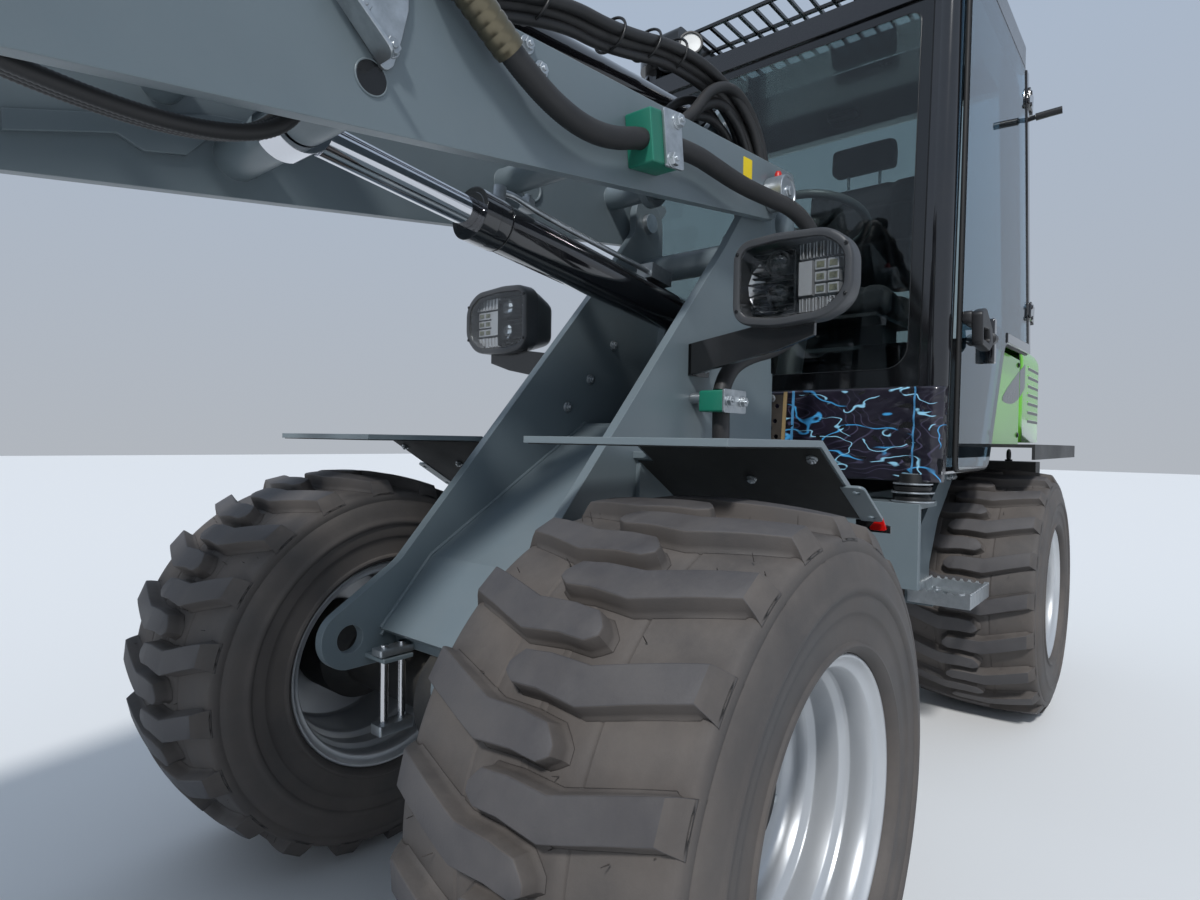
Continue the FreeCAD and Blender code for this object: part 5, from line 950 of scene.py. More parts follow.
# Ferrule of the boom's hose: a crimped collar with a hexagon nut above it
ferrule_low = at(1.070, 0.239, 1.404)
ferrule_high = at(1.150, 0.2375, 1.454)
ferrule_line = [ferrule_low.lerp(ferrule_high, step / 24) for step in range(25)]
ferrule_radii = [0.0235 if 2 <= step <= 22 and step % 4 else 0.0222 for step in range(25)]
new_piece("boom_hose_ferrule", "boom", crimp_steel, tube_mesh(ferrule_line, 0.0235, 28, ferrule_radii), smooth=35.0)
nut_line = [at(1.150, 0.2375, 1.454), at(1.166, 0.236, 1.463), at(1.172, 0.235, 1.467), at(1.188, 0.228, 1.477)]
new_piece("boom_hose_nut", "boom", crimp_steel, tube_mesh(nut_line, 0.024, 6, [0.0245, 0.0265, 0.0265, 0.0245]),
    smooth=20.0)

# Clamp on the boom: two halves of green plastic, a plated cover and two long bolts
clamp = cut_plate("boom_clamp", "boom", clamp_green, [rounded_box(-0.043, -0.046, 0.043, 0.046, 0.004)],
    (at(0.722, 0.2335, 1.396), (0.990, 0, -0.139), (0.139, 0, 0.990)), 0.056, 0.003)
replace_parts(clamp, "boom_fittings")
cut_plate("boom_clamp_cover", "boom", zinc, [rounded_box(-0.044, -0.050, 0.010, 0.050, 0.005)],
    (at(0.722, 0.2645, 1.396), (0.990, 0, -0.139), (0.139, 0, 0.990)), 0.006)
bolted("boom_clamp_bolts", "boom", [at(0.697, 0.2672, 1.433), at(0.711, 0.2672, 1.360)], (0, 1, 0), 0.011, 0.0105)

# Plated hose bracket, cut and folded from 6 mm sheet
PLATED_BRACKET = [(1.340, 1.437, 0), (1.306, 1.372, 0.006), (1.283, 1.345, 0.006), (1.250, 1.310, 0.008),
    (1.238, 1.322, 0.008), (1.226, 1.362, 0.006), (1.217, 1.400, 0.004), (1.217, 1.446, 0)]
cut_plate("hose_bracket", "boom", zinc, [rounded(PLATED_BRACKET)], side_plane(BOOM_FACE_Y + 0.0035), 0.006)
cut_plate("hose_bracket_fold", "boom", zinc, [rounded([(-0.052, 0.0, 0), (0.052, 0.0, 0), (0.052, 0.030, 0.010),
    (-0.052, 0.036, 0.014)])], (at(1.294, BOOM_FACE_Y + 0.005, 1.3525), (0.743, 0, 0.669), (0, 1, 0)), 0.006)
bolted("hose_bracket_bolts", "boom", [at(1.284, 0.2115, 1.375), at(1.243, 0.2115, 1.343)], (0, 1, 0), 0.009, 0.0095)

# Clamp on the tower, on a plated stub
tower_clamp = cut_plate("tower_clamp", "front_frame", clamp_green, [rounded_box(-0.043, -0.022, 0.043, 0.022, 0.004)],
    (at(0.466, 0.232, 0.946), (1, 0, 0), (0, 0, 1)), 0.056, 0.003)
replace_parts(tower_clamp, "tower_fittings")
cut_plate("tower_clamp_cover", "front_frame", zinc, [rounded_box(-0.045, -0.024, 0.045, 0.024, 0.004)],
    (at(0.466, 0.2630, 0.946), (1, 0, 0), (0, 0, 1)), 0.005)
bolted("tower_clamp_bolts", "front_frame", [at(0.438, 0.2652, 0.946), at(0.494, 0.2652, 0.946)], (0, 1, 0), 0.010,
    0.0095)
stub_line = [at(0.488, 0.1755, 0.954), at(0.488, 0.2045, 0.954)]
new_piece("tower_clamp_stub", "front_frame", zinc, tube_mesh(stub_line, 0.011, 24))

# Hoses that arch over the pivot, side by side between the plates
ARCHES = [(0.150, 0.0120, [(0.640, 1.470), (0.560, 1.500), (0.470, 1.560), (0.395, 1.650), (0.290, 1.692),
    (0.190, 1.650), (0.130, 1.560), (0.116, 1.460), (0.120, 1.340), (0.150, 1.250)]), (0.125, 0.0120, [(0.640, 1.455),
    (0.555, 1.480), (0.470, 1.540), (0.390, 1.625), (0.290, 1.662), (0.200, 1.625), (0.146, 1.545), (0.128, 1.450),
    (0.132, 1.330), (0.160, 1.250)]), (0.098, 0.0100, [(0.640, 1.470), (0.560, 1.490), (0.480, 1.540), (0.405, 1.600),
    (0.300, 1.632), (0.215, 1.605), (0.160, 1.535), (0.140, 1.445), (0.144, 1.330), (0.170, 1.250)]), (0.072, 0.0100,
    [(0.640, 1.480), (0.570, 1.505), (0.490, 1.560), (0.410, 1.640), (0.310, 1.678), (0.205, 1.640), (0.140, 1.560),
    (0.122, 1.460), (0.128, 1.340), (0.160, 1.250)])]
for number, (y, radius, line) in enumerate(ARCHES):
    hose(f"pivot_arch_{number}", None, [(x, y, z) for x, z in line], radius, at(0.42, y, 1.62))

# Bundle on top: hoses and a cable in one sleeve from the boom's middle down behind the pivot
BUNDLE = [(1.160, 0.100, 1.500), (1.050, 0.105, 1.540), (0.940, 0.108, 1.585), (0.830, 0.110, 1.618),
    (0.740, 0.110, 1.628), (0.640, 0.110, 1.652), (0.540, 0.110, 1.682), (0.440, 0.112, 1.694), (0.340, 0.116, 1.690),
    (0.250, 0.122, 1.664), (0.185, 0.128, 1.600), (0.158, 0.130, 1.500), (0.155, 0.130, 1.400), (0.165, 0.128, 1.280)]
STRANDS = [(0.0, 0.0, 0.0170), (0.026, 0.004, 0.0110), (-0.024, 0.008, 0.0100), (0.004, -0.024, 0.0095),
    (-0.012, 0.025, 0.0085)]
for number, (across, up, radius) in enumerate(STRANDS):
    line = []
    for index, (x, y, z) in enumerate(BUNDLE):
        sway = 0.004 * math.sin(index * 1.9 + number)
        line.append((x, y + across + sway, z + up - 0.5 * sway))
    hose(f"bundle_hose_{number}", None, line, radius, at(0.42, 0.11, 1.66))
TIES = [(0.90, 0.109, 1.596, 0.32), (0.70, 0.110, 1.636, 0.20), (0.585, 0.110, 1.668, 0.26), (0.49, 0.111, 1.689, 0.12)]
for number, (x, y, z, lean) in enumerate(TIES):
    ring = circle(at(x, y + 0.001, z + 0.004), 1, 36, (0, 0.037, 0), (-lean * 0.034, 0, 0.034), closed=True)
    new_piece(f"bundle_tie_{number}", "boom", tie_black, tube_mesh(ring, 0.0028, 8), smooth=60.0)

# Pressure gauge beside the bundle, on a short pipe
gauge_centre = at(0.430, 0.118, 1.742)
gauge_out = Vector((0.80, 0.60, 0.05)).normalized()
gauge_across = gauge_out.cross(Vector((0, 0, 1))).normalized()
gauge_up = gauge_across.cross(gauge_out)
GAUGE_CASE = [(-0.030, 0.022), (-0.028, 0.026), (-0.004, 0.027), (0.0, 0.0275), (0.004, 0.0265), (0.004, 0.0225),
    (0.001, 0.0220)]
rings = [circle(gauge_centre + gauge_out * reach, radius, 40, gauge_across, gauge_up) for reach, radius in GAUGE_CASE]
new_piece("gauge_case", "boom", finish("gauge case", (24, 24, 25), (18, 18, 19), 0.35),
    lofted(rings, -1, closed_end=False), smooth=35.0)
rings = [rings[-1], [gauge_centre + (point - gauge_centre) * 0.02 for point in rings[-1]]]
new_piece("gauge_face", "boom", finish("gauge face", (226, 226, 222), (210, 210, 206), 0.3, grain=0.0),
    lofted(rings, -1, closed_start=False), smooth=35.0)
gauge_pipe = [at(0.420, 0.112, 1.745), at(0.418, 0.112, 1.712), at(0.420, 0.112, 1.690)]
new_piece("gauge_pipe", "boom", crimp_steel, tube_mesh(gauge_pipe, 0.007, 16))

# Under the boom: three hoses to the bucket lie between the plates, with nuts at both ends
UNDER_BOOM = [(1.905, 1.266), (1.800, 1.243), (1.680, 1.214), (1.560, 1.194), (1.450, 1.192), (1.360, 1.214),
    (1.316, 1.262), (1.306, 1.330), (1.303, 1.395)]
for number, (y, up) in enumerate(((0.1405, 0.0), (0.1205, 0.005), (0.1005, 0.010))):
    hose(f"under_boom_hose_{number}", "boom", [(x, y, z + up) for x, z in UNDER_BOOM], 0.0095)
    ends = []
    for x, z, along in ((1.903, 1.2655, Vector((1, 0, 0.21)).normalized()), (1.303, 1.390, Vector((0, 0, 1)))):
        foot = at(x, y, z + up) - along * 0.012
        ends.append(tube_mesh([foot, foot + along * 0.034], 0.0135, 6))
        ends.append(tube_mesh([foot - along * 0.020, foot], 0.0112, 24))
    new_piece(f"under_boom_nuts_{number}", "boom", zinc, joined(ends), smooth=30.0)




# Cylinders: seamless steel tubes painted gloss black, with hard-chromed rods. Each tube ends in a
# screwed gland with a wiper ring. The lift cylinder carries a bent zinc-plated feed pipe on top.
gloss_black = finish("gloss black paint", (22, 22, 26), (17, 17, 20), 0.10, dust=0.03, coat=1.0, grain=0.02,
    grain_scale=60.0, radius=0.003)
chrome = finish("chrome", (215, 216, 220), (205, 206, 210), 0.08, metallic=1.0, grain=0.0)
seal_rubber = finish("seal rubber", (20, 20, 20), (15, 15, 15), 0.55, grain=0.1)
dress(gloss_black, "lift_barrel", "tilt_barrel", "steer_barrel")
dress(chrome, "lift_rod", "tilt_rod", "steer_rod")
dress(zinc, "lift_pipe")

LIFT_FOOT = at(0.200, 0, 1.162)
LIFT_EYE = at(1.262, 0, 1.300)
TILT_FOOT = at(0.170, 0, 1.664)
TILT_EYE = at(1.335, 0, 1.582)
for name, foot, eye, length, radius in (
        ("lift", LIFT_FOOT, LIFT_EYE, 0.751, 0.045), ("tilt", TILT_FOOT, TILT_EYE, 0.870, 0.042)):
    body = f"{name}_barrel"
    along = (eye - foot).normalized()
    up = along.cross(Vector((0, 1, 0))).normalized()
    stations = ((length - 0.062, radius + 0.0002), (length - 0.060, radius + 0.0022), (length - 0.004, radius + 0.0022),
        (length - 0.001, radius + 0.0010), (length + 0.0002, radius - 0.0080))
    gland = tube_mesh([foot + along * reach for reach, _ in stations], radius, 56, [size for _, size in stations],
        capped=False)
    new_piece(f"{name}_gland", body, gloss_black, gland, smooth=30.0)
    marked = foot + along * (length - 0.020)
    inner, outer = (circle(marked, radius + proud, 6, up=up) for proud in (0.0021, 0.0027))
    marks = [tube_mesh(ends, 0.0045, 14) for ends in zip(inner, outer)]
    new_piece(f"{name}_gland_marks", body, seal_rubber, joined(marks), smooth=0)
    # Weld bead where the tube meets its foot, and the wiper ring in the gland's face
    beads = []
    for reach, bead in ((0.047, 0.0032), (length - 0.064, 0.0012)):
        ring = circle(foot + along * reach, radius + 0.0006, 48, up=up, closed=True)
        beads.append(tube_mesh(ring, bead, 8, capped=False))
    new_piece(f"{name}_beads", body, gloss_black, joined(beads), smooth=60.0)

# Banjo fitting of the lift cylinder's rod side
bolted("lift_banjo", "lift_barrel", [at(0.808, 0.0, 1.300)], (-0.13, 0, 1), 0.022, 0.013, across=(0, 1, 0), stud=0.6,
    washer=1.2)




# Front linkage and bucket: lever, link and hitch are flame-cut plates in the frame's grey. The
# bucket is rolled sheet with an edge of wear-resistant steel, ground bright by use.
worn_steel = finish("worn steel", (142, 138, 132), (96, 90, 84), 0.38, metallic=0.8, clouds=9.0, grain=0.6,
    grain_scale=120.0, dust=0.25)
dress(grey_paint, "tilt_lever", "tilt_link", "quick_hitch", "bucket")

BOOM_NOSE_X = 1.990
BOOM_NOSE_Z = 1.202
BUCKET_BACK_X = BOOM_NOSE_X + 0.090 + 0.012
BUCKET_LIP_X = BUCKET_BACK_X + 0.700
BUCKET_LOW_Z = BOOM_NOSE_Z - 0.170
bucket_edge = block(at(BUCKET_LIP_X - 0.140, -0.7000, BUCKET_LOW_Z - 0.0084),
    at(BUCKET_LIP_X + 0.0200, 0.7000, BUCKET_LOW_Z + 0.0124))
new_piece("bucket_edge", "bucket", worn_steel, bucket_edge, smooth=0)
CHEEK = [(-0.028, 0.014), (-0.100, 0.014), (-0.216, 0.130), (-0.180, 0.178)]
for side, word in SIDES:
    cut_plate(f"bucket_cheek_{word}", "bucket", worn_steel, [[(BUCKET_LIP_X + x, BUCKET_LOW_Z + z) for x, z in CHEEK]],
        side_plane(side * 0.6945), 0.0105, 0.001)
    bolted(f"nose_bolt_{word}", "bucket", [at(BOOM_NOSE_X, side * 0.238, BOOM_NOSE_Z)], (0, side, 0), 0.010, 0.012,
        stud=0, washer=1.6)
seams = []
for y in (-0.6875, 0.6875):
    seams.append([at(BUCKET_BACK_X + 0.0125, y, 1.540), at(BUCKET_BACK_X + 0.0125, y, BUCKET_LOW_Z + 0.165)])
    seams.append([at(BUCKET_BACK_X + 0.170, y, BUCKET_LOW_Z + 0.0125),
        at(BUCKET_LIP_X - 0.190, y, BUCKET_LOW_Z + 0.0125)])
new_piece("bucket_seams", "bucket", grey_paint, weld(seams, 0.0045), smooth=60.0)
runners = [block(at(BUCKET_BACK_X + 0.170, y - 0.035, BUCKET_LOW_Z - 0.0078), at(BUCKET_LIP_X - 0.150, y + 0.035,
    BUCKET_LOW_Z + 0.001)) for y in (-0.45, 0.0, 0.45)]
new_piece("bucket_runners", "bucket", worn_steel, joined(runners), smooth=0)




# Rear frame: welded plates in the frame's grey carry the engine, the axle and the cab. A bent arm
# holds the step, pressed from zinc-plated sheet with teeth. The fuel tank is moulded plastic.
black_plastic = finish("black plastic", (33, 34, 36), (27, 28, 30), 0.5, grain=0.25, grain_scale=900.0, dust=0.12)
dress(grey_paint, "rear_chassis", "step_bracket")
dress(zinc, "step_tread")
dress(black_plastic, "side_tank", "rear_fenders")
dress(black_iron, "rear_axle", "engine_block", "counterweight")

bolted("step_arm_bolts", "rear_frame", [at(x, 0.413, 0.765) for x in (-0.600, -0.660)], (0, 1, 0), 0.009, 0.0085,
    stud=0.5)
bolted("step_bolts", "rear_frame", [at(x, 0.440, 0.4525) for x in (-0.395, -0.260)], (0, 0, 1), 0.008, 0.008,
    across=(0, 1, 0), stud=0.5)
runs = []
for side in (-1, 1):
    runs.append([at(-0.0945, side * 0.2455, z) for z in (0.440, 0.700)])
    runs.append([at(-0.0945, side * y, 0.7165) for y in (0.060, 0.118)])
new_piece("frame_seams", "rear_frame", grey_paint, weld(runs, 0.0045), smooth=60.0)

# Beside the film: a dark plate with holes, a beige foam strip and two plated fittings
cover_paint = finish("cover paint", (58, 52, 46), (44, 40, 36), 0.45, dust=0.2)
foam = finish("foam strip", (150, 128, 88), (132, 112, 76), 0.8, grain=0.4, grain_scale=700.0)
holes = [round_hole(y, z, 0.0065, 20) for y, z in ((0.074, 0.880), (0.070, 0.925), (0.076, 0.968), (0.056, 0.905))]
cut_plate("cover_plate", "rear_frame", cover_paint, [rounded([(0.020, 0.850, 0.006), (0.088, 0.850, 0.006),
    (0.094, 1.000, 0.006), (0.026, 1.000, 0.006)])] + holes, front_plane(-0.1150), 0.003)
cut_plate("foam_strip", "rear_frame", foam, [[(0.090, 0.850), (0.100, 0.850), (0.107, 1.008), (0.097, 1.008)]],
    front_plane(-0.1130), 0.008, 0.002)
bolted("cover_fittings", "rear_frame", [at(-0.1130, 0.060, 0.990), at(-0.1130, 0.048, 0.870)], (1, 0, 0), 0.020,
    0.008, stud=0.6)

# Tank: filler cap on its top, and two straps of steel band
new_piece("tank_cap", "rear_frame", black_plastic, tube_mesh([at(-0.230, -0.440, 0.690), at(-0.230, -0.440, 0.694),
    at(-0.230, -0.440, 0.716), at(-0.230, -0.440, 0.720)], 0.04, 40, [0.044, 0.040, 0.040, 0.034]), smooth=35.0)
for number, x in enumerate((-0.400, -0.200)):
    cut_plate(f"tank_strap_{number}", "rear_frame", zinc, [rounded_box(-0.5205, 0.4295, -0.246, 0.6905, 0.030),
        rounded_box(-0.5190, 0.4310, -0.2475, 0.6890, 0.028)], front_plane(x), 0.028, 0.0003)
# Counterweight: two eye bolts on top
for side, word in SIDES:
    eye = circle(at(-1.640, side * 0.400, 0.826), 0.020, 36, (1, 0, 0), closed=True)
    foot = [at(-1.640, side * 0.400, z) for z in (0.799, 0.808)]
    new_piece(f"weight_eye_{word}", "rear_frame", black_iron,
        joined([tube_mesh(eye, 0.006, 12, capped=False), tube_mesh(foot, 0.014, 20)]), smooth=50.0)




# Cab: a welded frame of black steel tube on four rubber seats. Round tubes form the front posts, and
# the windscreen is bonded in front of them with a printed black band round its edge. A steel roof
# with a slatted guard lies over a sloping roof window.
cab_glass = clear("cab glass", (176, 190, 190))
dress(gloss_black, "cab_frame")
dress(black_paint, "cab_roof", "roof_guard", "hood_hinges")
dress(cab_glass, "windscreen", "rear_window", "side_window")

CAB_SIDE_Y = 0.510
CAB_LOW_Z = 0.790
CAB_HIGH_Z = 2.150


def front_edge(z):
    return -0.130 - 0.095 * (z - CAB_LOW_Z) / (CAB_HIGH_Z - CAB_LOW_Z)


def rear_edge(z):
    return -1.205 + 0.165 * (z - 1.200) / (CAB_HIGH_Z - 1.200)


for side, word in SIDES:
    line = [at(front_edge(z) - 0.0305, side * 0.4795, z) for z in (0.792, 1.0, 1.3, 1.6, 1.9, 2.149)]
    new_piece(f"front_post_{word}", "rear_frame", gloss_black, tube_mesh(line, 0.0335, 40), smooth=50.0)
    for offset_x, offset_y, size, part in ((-0.064, 0.5045, 0.0048, "outer"), (-0.0125, 0.4485, 0.0052, "inner")):
        line = [at(front_edge(z) + offset_x, side * offset_y, z) for z in (0.835, 1.4, 2.045)]
        new_piece(f"post_seal_{part}_{word}", "rear_frame", seal_rubber, tube_mesh(line, size, 10), smooth=60.0)

# Printed band of the windscreen: a thin frame with rounded lower corners, just in front of the glass
band_print = finish("printed band", (14, 15, 17), (11, 12, 13), 0.08, grain=0.0, coat=0.6)
SCREEN_LOW_Z = 1.0160
SCREEN_HIGH_Z = 2.0490
screen_low = at(front_edge(SCREEN_LOW_Z) - 0.0134, 0, SCREEN_LOW_Z)
screen_high = at(front_edge(SCREEN_HIGH_Z) - 0.0134, 0, SCREEN_HIGH_Z)
screen_height = (screen_high - screen_low).length
cut_plate("windscreen_band", "rear_frame", band_print, [[Vector((-0.4490, 0)), Vector((0.4490, 0)),
    Vector((0.4490, screen_height)), Vector((-0.4490, screen_height))], rounded([(-0.415, 0.045, 0.06),
    (0.415, 0.045, 0.06), (0.415, screen_height - 0.028, 0.03), (-0.415, screen_height - 0.028, 0.03)])], (screen_low,
    (0, 1, 0), (screen_high - screen_low).normalized()), 0.0010, 0.0002)
edge_line = rounded([(-0.414, 0.046, 0.06), (0.414, 0.046, 0.06), (0.414, screen_height - 0.029, 0.03),
    (-0.414, screen_height - 0.029, 0.03)])
screen_along = (screen_high - screen_low).normalized()
edge_path = [screen_low + Vector((0.0010, point.x, 0)) + screen_along * point.y for point in edge_line]
edge_path.append(edge_path[0])
new_piece("windscreen_bead", "rear_frame", black_paint, tube_mesh(edge_path, 0.0013, 8), smooth=60.0)
for side, word in SIDES:
    cut_plate(f"side_window_band_{word}", "rear_frame", band_print, [[(-0.170, 2.062), (-0.640, 2.112),
        (-0.640, 2.146), (-0.232, 2.146)]], side_plane(side * (CAB_SIDE_Y - 0.030)), 0.004, 0.0008)

# Film on the closed panel below the windscreen: a dark printed sheet, drawn round the posts and left
# with a few wrinkles. It carries plain contour lines in light blue.
film_print, film_tree, film_shader = new_material("printed film", Coat_Weight=0.6, Roughness=0.28)
film_place = object_place(film_tree)
film_stretch = add(film_tree, "Mapping", ("Vector", film_place), ("Scale", (1.0, 0.55, 1.25))).outputs["Vector"]
film_shade = placed(film_tree, cloud_group, Colour=colour(32, 27, 40), Second=colour(21, 19, 29), Scale=8.0)["Colour"]
# Fine violet contours, then strong blue ones that break off, then the blue edge strips
for scale, contours, width, keep, shade in ((3.0, 34.0, 0.09, (0.40, 0.62), (74, 70, 92)),
        (4.2, 9.0, 0.060, (0.44, 0.50), (70, 158, 214)), (6.4, 7.0, 0.050, (0.50, 0.54), (150, 206, 232))):
    film_rings = product(film_tree, noise(film_tree, film_stretch, scale, 3.0), contours)
    film_saw = add(film_tree, "Math", (0, film_rings), (1, 0.5), operation="PINGPONG").outputs[0]
    film_break = ranged(film_tree, noise(film_tree, film_place, scale * 2.1, 1.0), *keep)
    film_line = product(film_tree, ranged(film_tree, film_saw, width, width * 0.3), film_break)
    film_shade = mixed(film_tree, film_line, film_shade, colour(*shade))
film_across = add(film_tree, "SeparateXYZ", (0, film_place)).outputs["Y"]
for place, width in ((0.111, 0.004), (0.441, 0.0025)):
    film_edge = add(film_tree, "Math", (0, film_across), (1, place), (2, width), operation="COMPARE").outputs[0]
    film_shade = mixed(film_tree, film_edge, film_shade, colour(78, 140, 184))
film_tree.links.new(film_shade, film_shader["Base Color"])

FILM_LOW_Z = 0.770
FILM_HIGH_Z = 1.012
FILM_ROWS = 34
FILM_COLUMNS = 150
POST_Y = 0.4795
POST_RADIUS = 0.0335
film_points = []
for row in range(FILM_ROWS + 1):
    z = FILM_LOW_Z + (FILM_HIGH_Z - FILM_LOW_Z) * row / FILM_ROWS
    for step in range(FILM_COLUMNS + 1):
        y = -0.5125 + 1.025 * step / FILM_COLUMNS
        # Drawn round the posts and into the panel, with a light wrinkle all over and a stronger one by the posts
        bend = min(max(0.0, abs(y) - POST_Y), POST_RADIUS - 0.0001)
        depth = POST_RADIUS - math.sqrt(POST_RADIUS ** 2 - bend ** 2)
        recess = 0.006 * max(0.0, min(1.0, (0.452 - abs(y)) / 0.02))
        lift = 0.0014 * math.sin(y * 61 + 9 * math.sin(z * 23)) * math.sin(z * 58 + y * 21)
        lift += 0.0034 * math.exp(-((abs(y) - 0.435) / 0.018) ** 2) * math.sin(z * 140 + y * 35)
        film_points.append(at(front_edge(z) + 0.0052 - depth - recess + lift, y, z))
film = new_piece("panel_film", "rear_frame", film_print,
    (film_points, strips(FILM_COLUMNS + 1, FILM_ROWS + 1, wrap=False)), smooth=60.0)
thickness = film.modifiers.new("thickness", "SOLIDIFY")
thickness.thickness = 0.0008
thickness.offset = -1
dress(black_paint, "front_panel")

# Door: one pane of safety glass with polished edges, a black steel strip along its rear edge with
# two hinge blocks, and a moulded pull handle on the outside whose rod works the lock.
door_glass_sheet = clear("door glass", (132, 166, 186))
DOOR_Y = 0.531
DOOR_OUTLINE = [(-0.190, 0.800, 0.02), (-0.238, 2.136, 0.03), (-1.024, 2.136, 0.03), (-1.184, 1.196, 0.02),
    (-0.756, 1.186, 0.06), (-0.548, 0.800, 0.06)]
door_pane = cut_plate("door_pane", "door", door_glass_sheet, [rounded(DOOR_OUTLINE)], side_plane(DOOR_Y), 0.006,
    0.0012)
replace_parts(door_pane, "door_glass")
edge_line = rounded(DOOR_OUTLINE)
edge_path = [at(point.x, DOOR_Y - 0.005, point.y) for point in edge_line]
edge_path.append(edge_path[0])
door_seal = new_piece("door_seal", "door", seal_rubber, tube_mesh(edge_path, 0.0062, 8), smooth=60.0)
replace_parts(door_seal, "door_frame")
cut_plate("door_rear_strip", "door", gloss_black, [[(-1.024, 2.136), (-0.990, 2.136), (-1.148, 1.230),
    (-0.772, 1.222), (-0.772, 1.190), (-1.184, 1.196)]], side_plane(DOOR_Y), 0.014, 0.002)
for number, z in enumerate((1.340, 2.050)):
    middle = at(rear_edge(z) - 0.014, DOOR_Y, z)
    along = Vector((0.165, 0, 0.950)).normalized()
    new_piece(f"hinge_pin_{number}", "door", gloss_black, tube_mesh([middle + along * reach
        for reach in (-0.037, -0.036, 0.036, 0.037)], 0.0125, 24, [0.011, 0.0125, 0.0125, 0.011]), smooth=40.0)
    cut_plate(f"hinge_leaf_{number}", "door", gloss_black, [rounded([(-0.008, -0.030, 0.004), (0.062, -0.030, 0.008),
        (0.062, 0.030, 0.008), (-0.008, 0.030, 0.004)])], (middle + Vector((0, 0.0085, 0)), (0.985, 0, 0.17),
        (-0.17, 0, 0.985)), 0.010, 0.002)
    leaf_bolts = [middle + Vector((0.046, 0.013, 0.020)), middle + Vector((0.042, 0.013, -0.018))]
    bolted(f"hinge_bolts_{number}", "door", leaf_bolts, (0, 1, 0), 0.005, 0.006, stud=0, washer=1.4,
        material=gloss_black)
dress(black_paint, "door_hinges")

HANDLE_OUTER = [(-0.205, 1.200, 0.012), (-0.258, 1.216, 0.018), (-0.330, 1.172, 0.016), (-0.340, 1.128, 0.012),
    (-0.302, 1.110, 0.016), (-0.215, 1.118, 0.014)]
HANDLE_HOLE = [(-0.226, 1.162, 0.006), (-0.290, 1.164, 0.008), (-0.306, 1.140, 0.006), (-0.292, 1.130, 0.008),
    (-0.228, 1.134, 0.006)]
moulded_black = finish("moulded black", (34, 34, 36), (28, 28, 30), 0.38, grain=0.15, grain_scale=900.0, dust=0.05)
cut_plate("door_handle", "door", moulded_black, [rounded(HANDLE_OUTER), rounded(HANDLE_HOLE)], side_plane(0.566),
    0.026, 0.005)
cut_plate("door_handle_base", "door", moulded_black, [rounded_box(-0.200, 1.172, -0.330, 1.204, 0.010)],
    side_plane(0.5445), 0.022, 0.003)
new_piece("door_rod", "door", zinc, tube_mesh([at(-0.335, 0.556, 1.150), at(-0.420, 0.556, 1.158),
    at(-0.470, 0.556, 1.160)], 0.006, 16))
new_piece("door_rod_knob", "door", moulded_black, joined([tube_mesh([at(-0.405, 0.556, 1.157),
    at(-0.408, 0.556, 1.157), at(-0.438, 0.556, 1.159), at(-0.441, 0.556, 1.159)], 0.017, 24, [0.011, 0.0165, 0.0165,
    0.011])]), smooth=40.0)
cut_plate("door_lock", "door", gloss_black, [rounded_box(-0.492, 1.095, -0.462, 1.222, 0.008)], side_plane(0.546),
    0.024, 0.004)

# Mirror arm at the right rear corner, and the door's rubber buffer
mirror_arm = [at(-0.985, -0.500, 1.985), at(-1.000, -0.550, 1.992), at(-1.004, -0.620, 1.995)]
new_piece("rear_arm_right", "rear_frame", gloss_black, tube_mesh(mirror_arm, 0.010, 16))
new_piece("door_buffer", "door", moulded_black, tube_mesh([at(-1.030, 0.560, 1.985), at(-1.032, 0.600, 1.988),
    at(-1.034, 0.635, 1.990)], 0.012, 16))
new_piece("door_buffer_pin", "door", moulded_black, tube_mesh([at(-1.036, 0.528, 1.984), at(-1.030, 0.562, 1.986)],
    0.008, 16))

# Rubber seats under the cab's front corners: rubber cones between zinc-plated washers
for side, word in SIDES:
    foot = at(-0.145, side * 0.440, 0.0)
    for part, material, stations in (("rubber", seal_rubber, ((0.7165, 0.034), (0.7215, 0.044), (0.7290, 0.044),
        (0.7400, 0.034), (0.7480, 0.044), (0.7560, 0.046), (0.7620, 0.036), (0.7885, 0.033))), ("washer_low", zinc,
        ((0.7168, 0.050), (0.7176, 0.0515), (0.7206, 0.0515), (0.7214, 0.050))), ("washer_middle", zinc,
        ((0.7395, 0.050), (0.7403, 0.0515), (0.7433, 0.0515), (0.7440, 0.050))), ("washer_high", zinc,
        ((0.7615, 0.046), (0.7623, 0.0475), (0.7653, 0.0475), (0.7660, 0.046)))):
        new_piece(f"cab_seat_{part}_{word}", "rear_frame", material, tube_mesh([foot + Vector((0, 0, z)) for z,
            _ in stations], 0.05, 44, [size for _, size in stations]), smooth=34.0)


# Inside the cab: a sprung seat with foam cushions under black cloth, a steering wheel on a leaning
# column, and a console with the control lever on the right. All trim is dark moulded plastic.
cab_trim = finish("cab trim", (46, 48, 52), (38, 40, 43), 0.6, grain=0.25, grain_scale=1100.0)
wheel_grip = finish("wheel grip", (104, 110, 112), (90, 96, 98), 0.42, grain=0.2, grain_scale=800.0)
dress(cab_trim, "steering_column", "control_console")

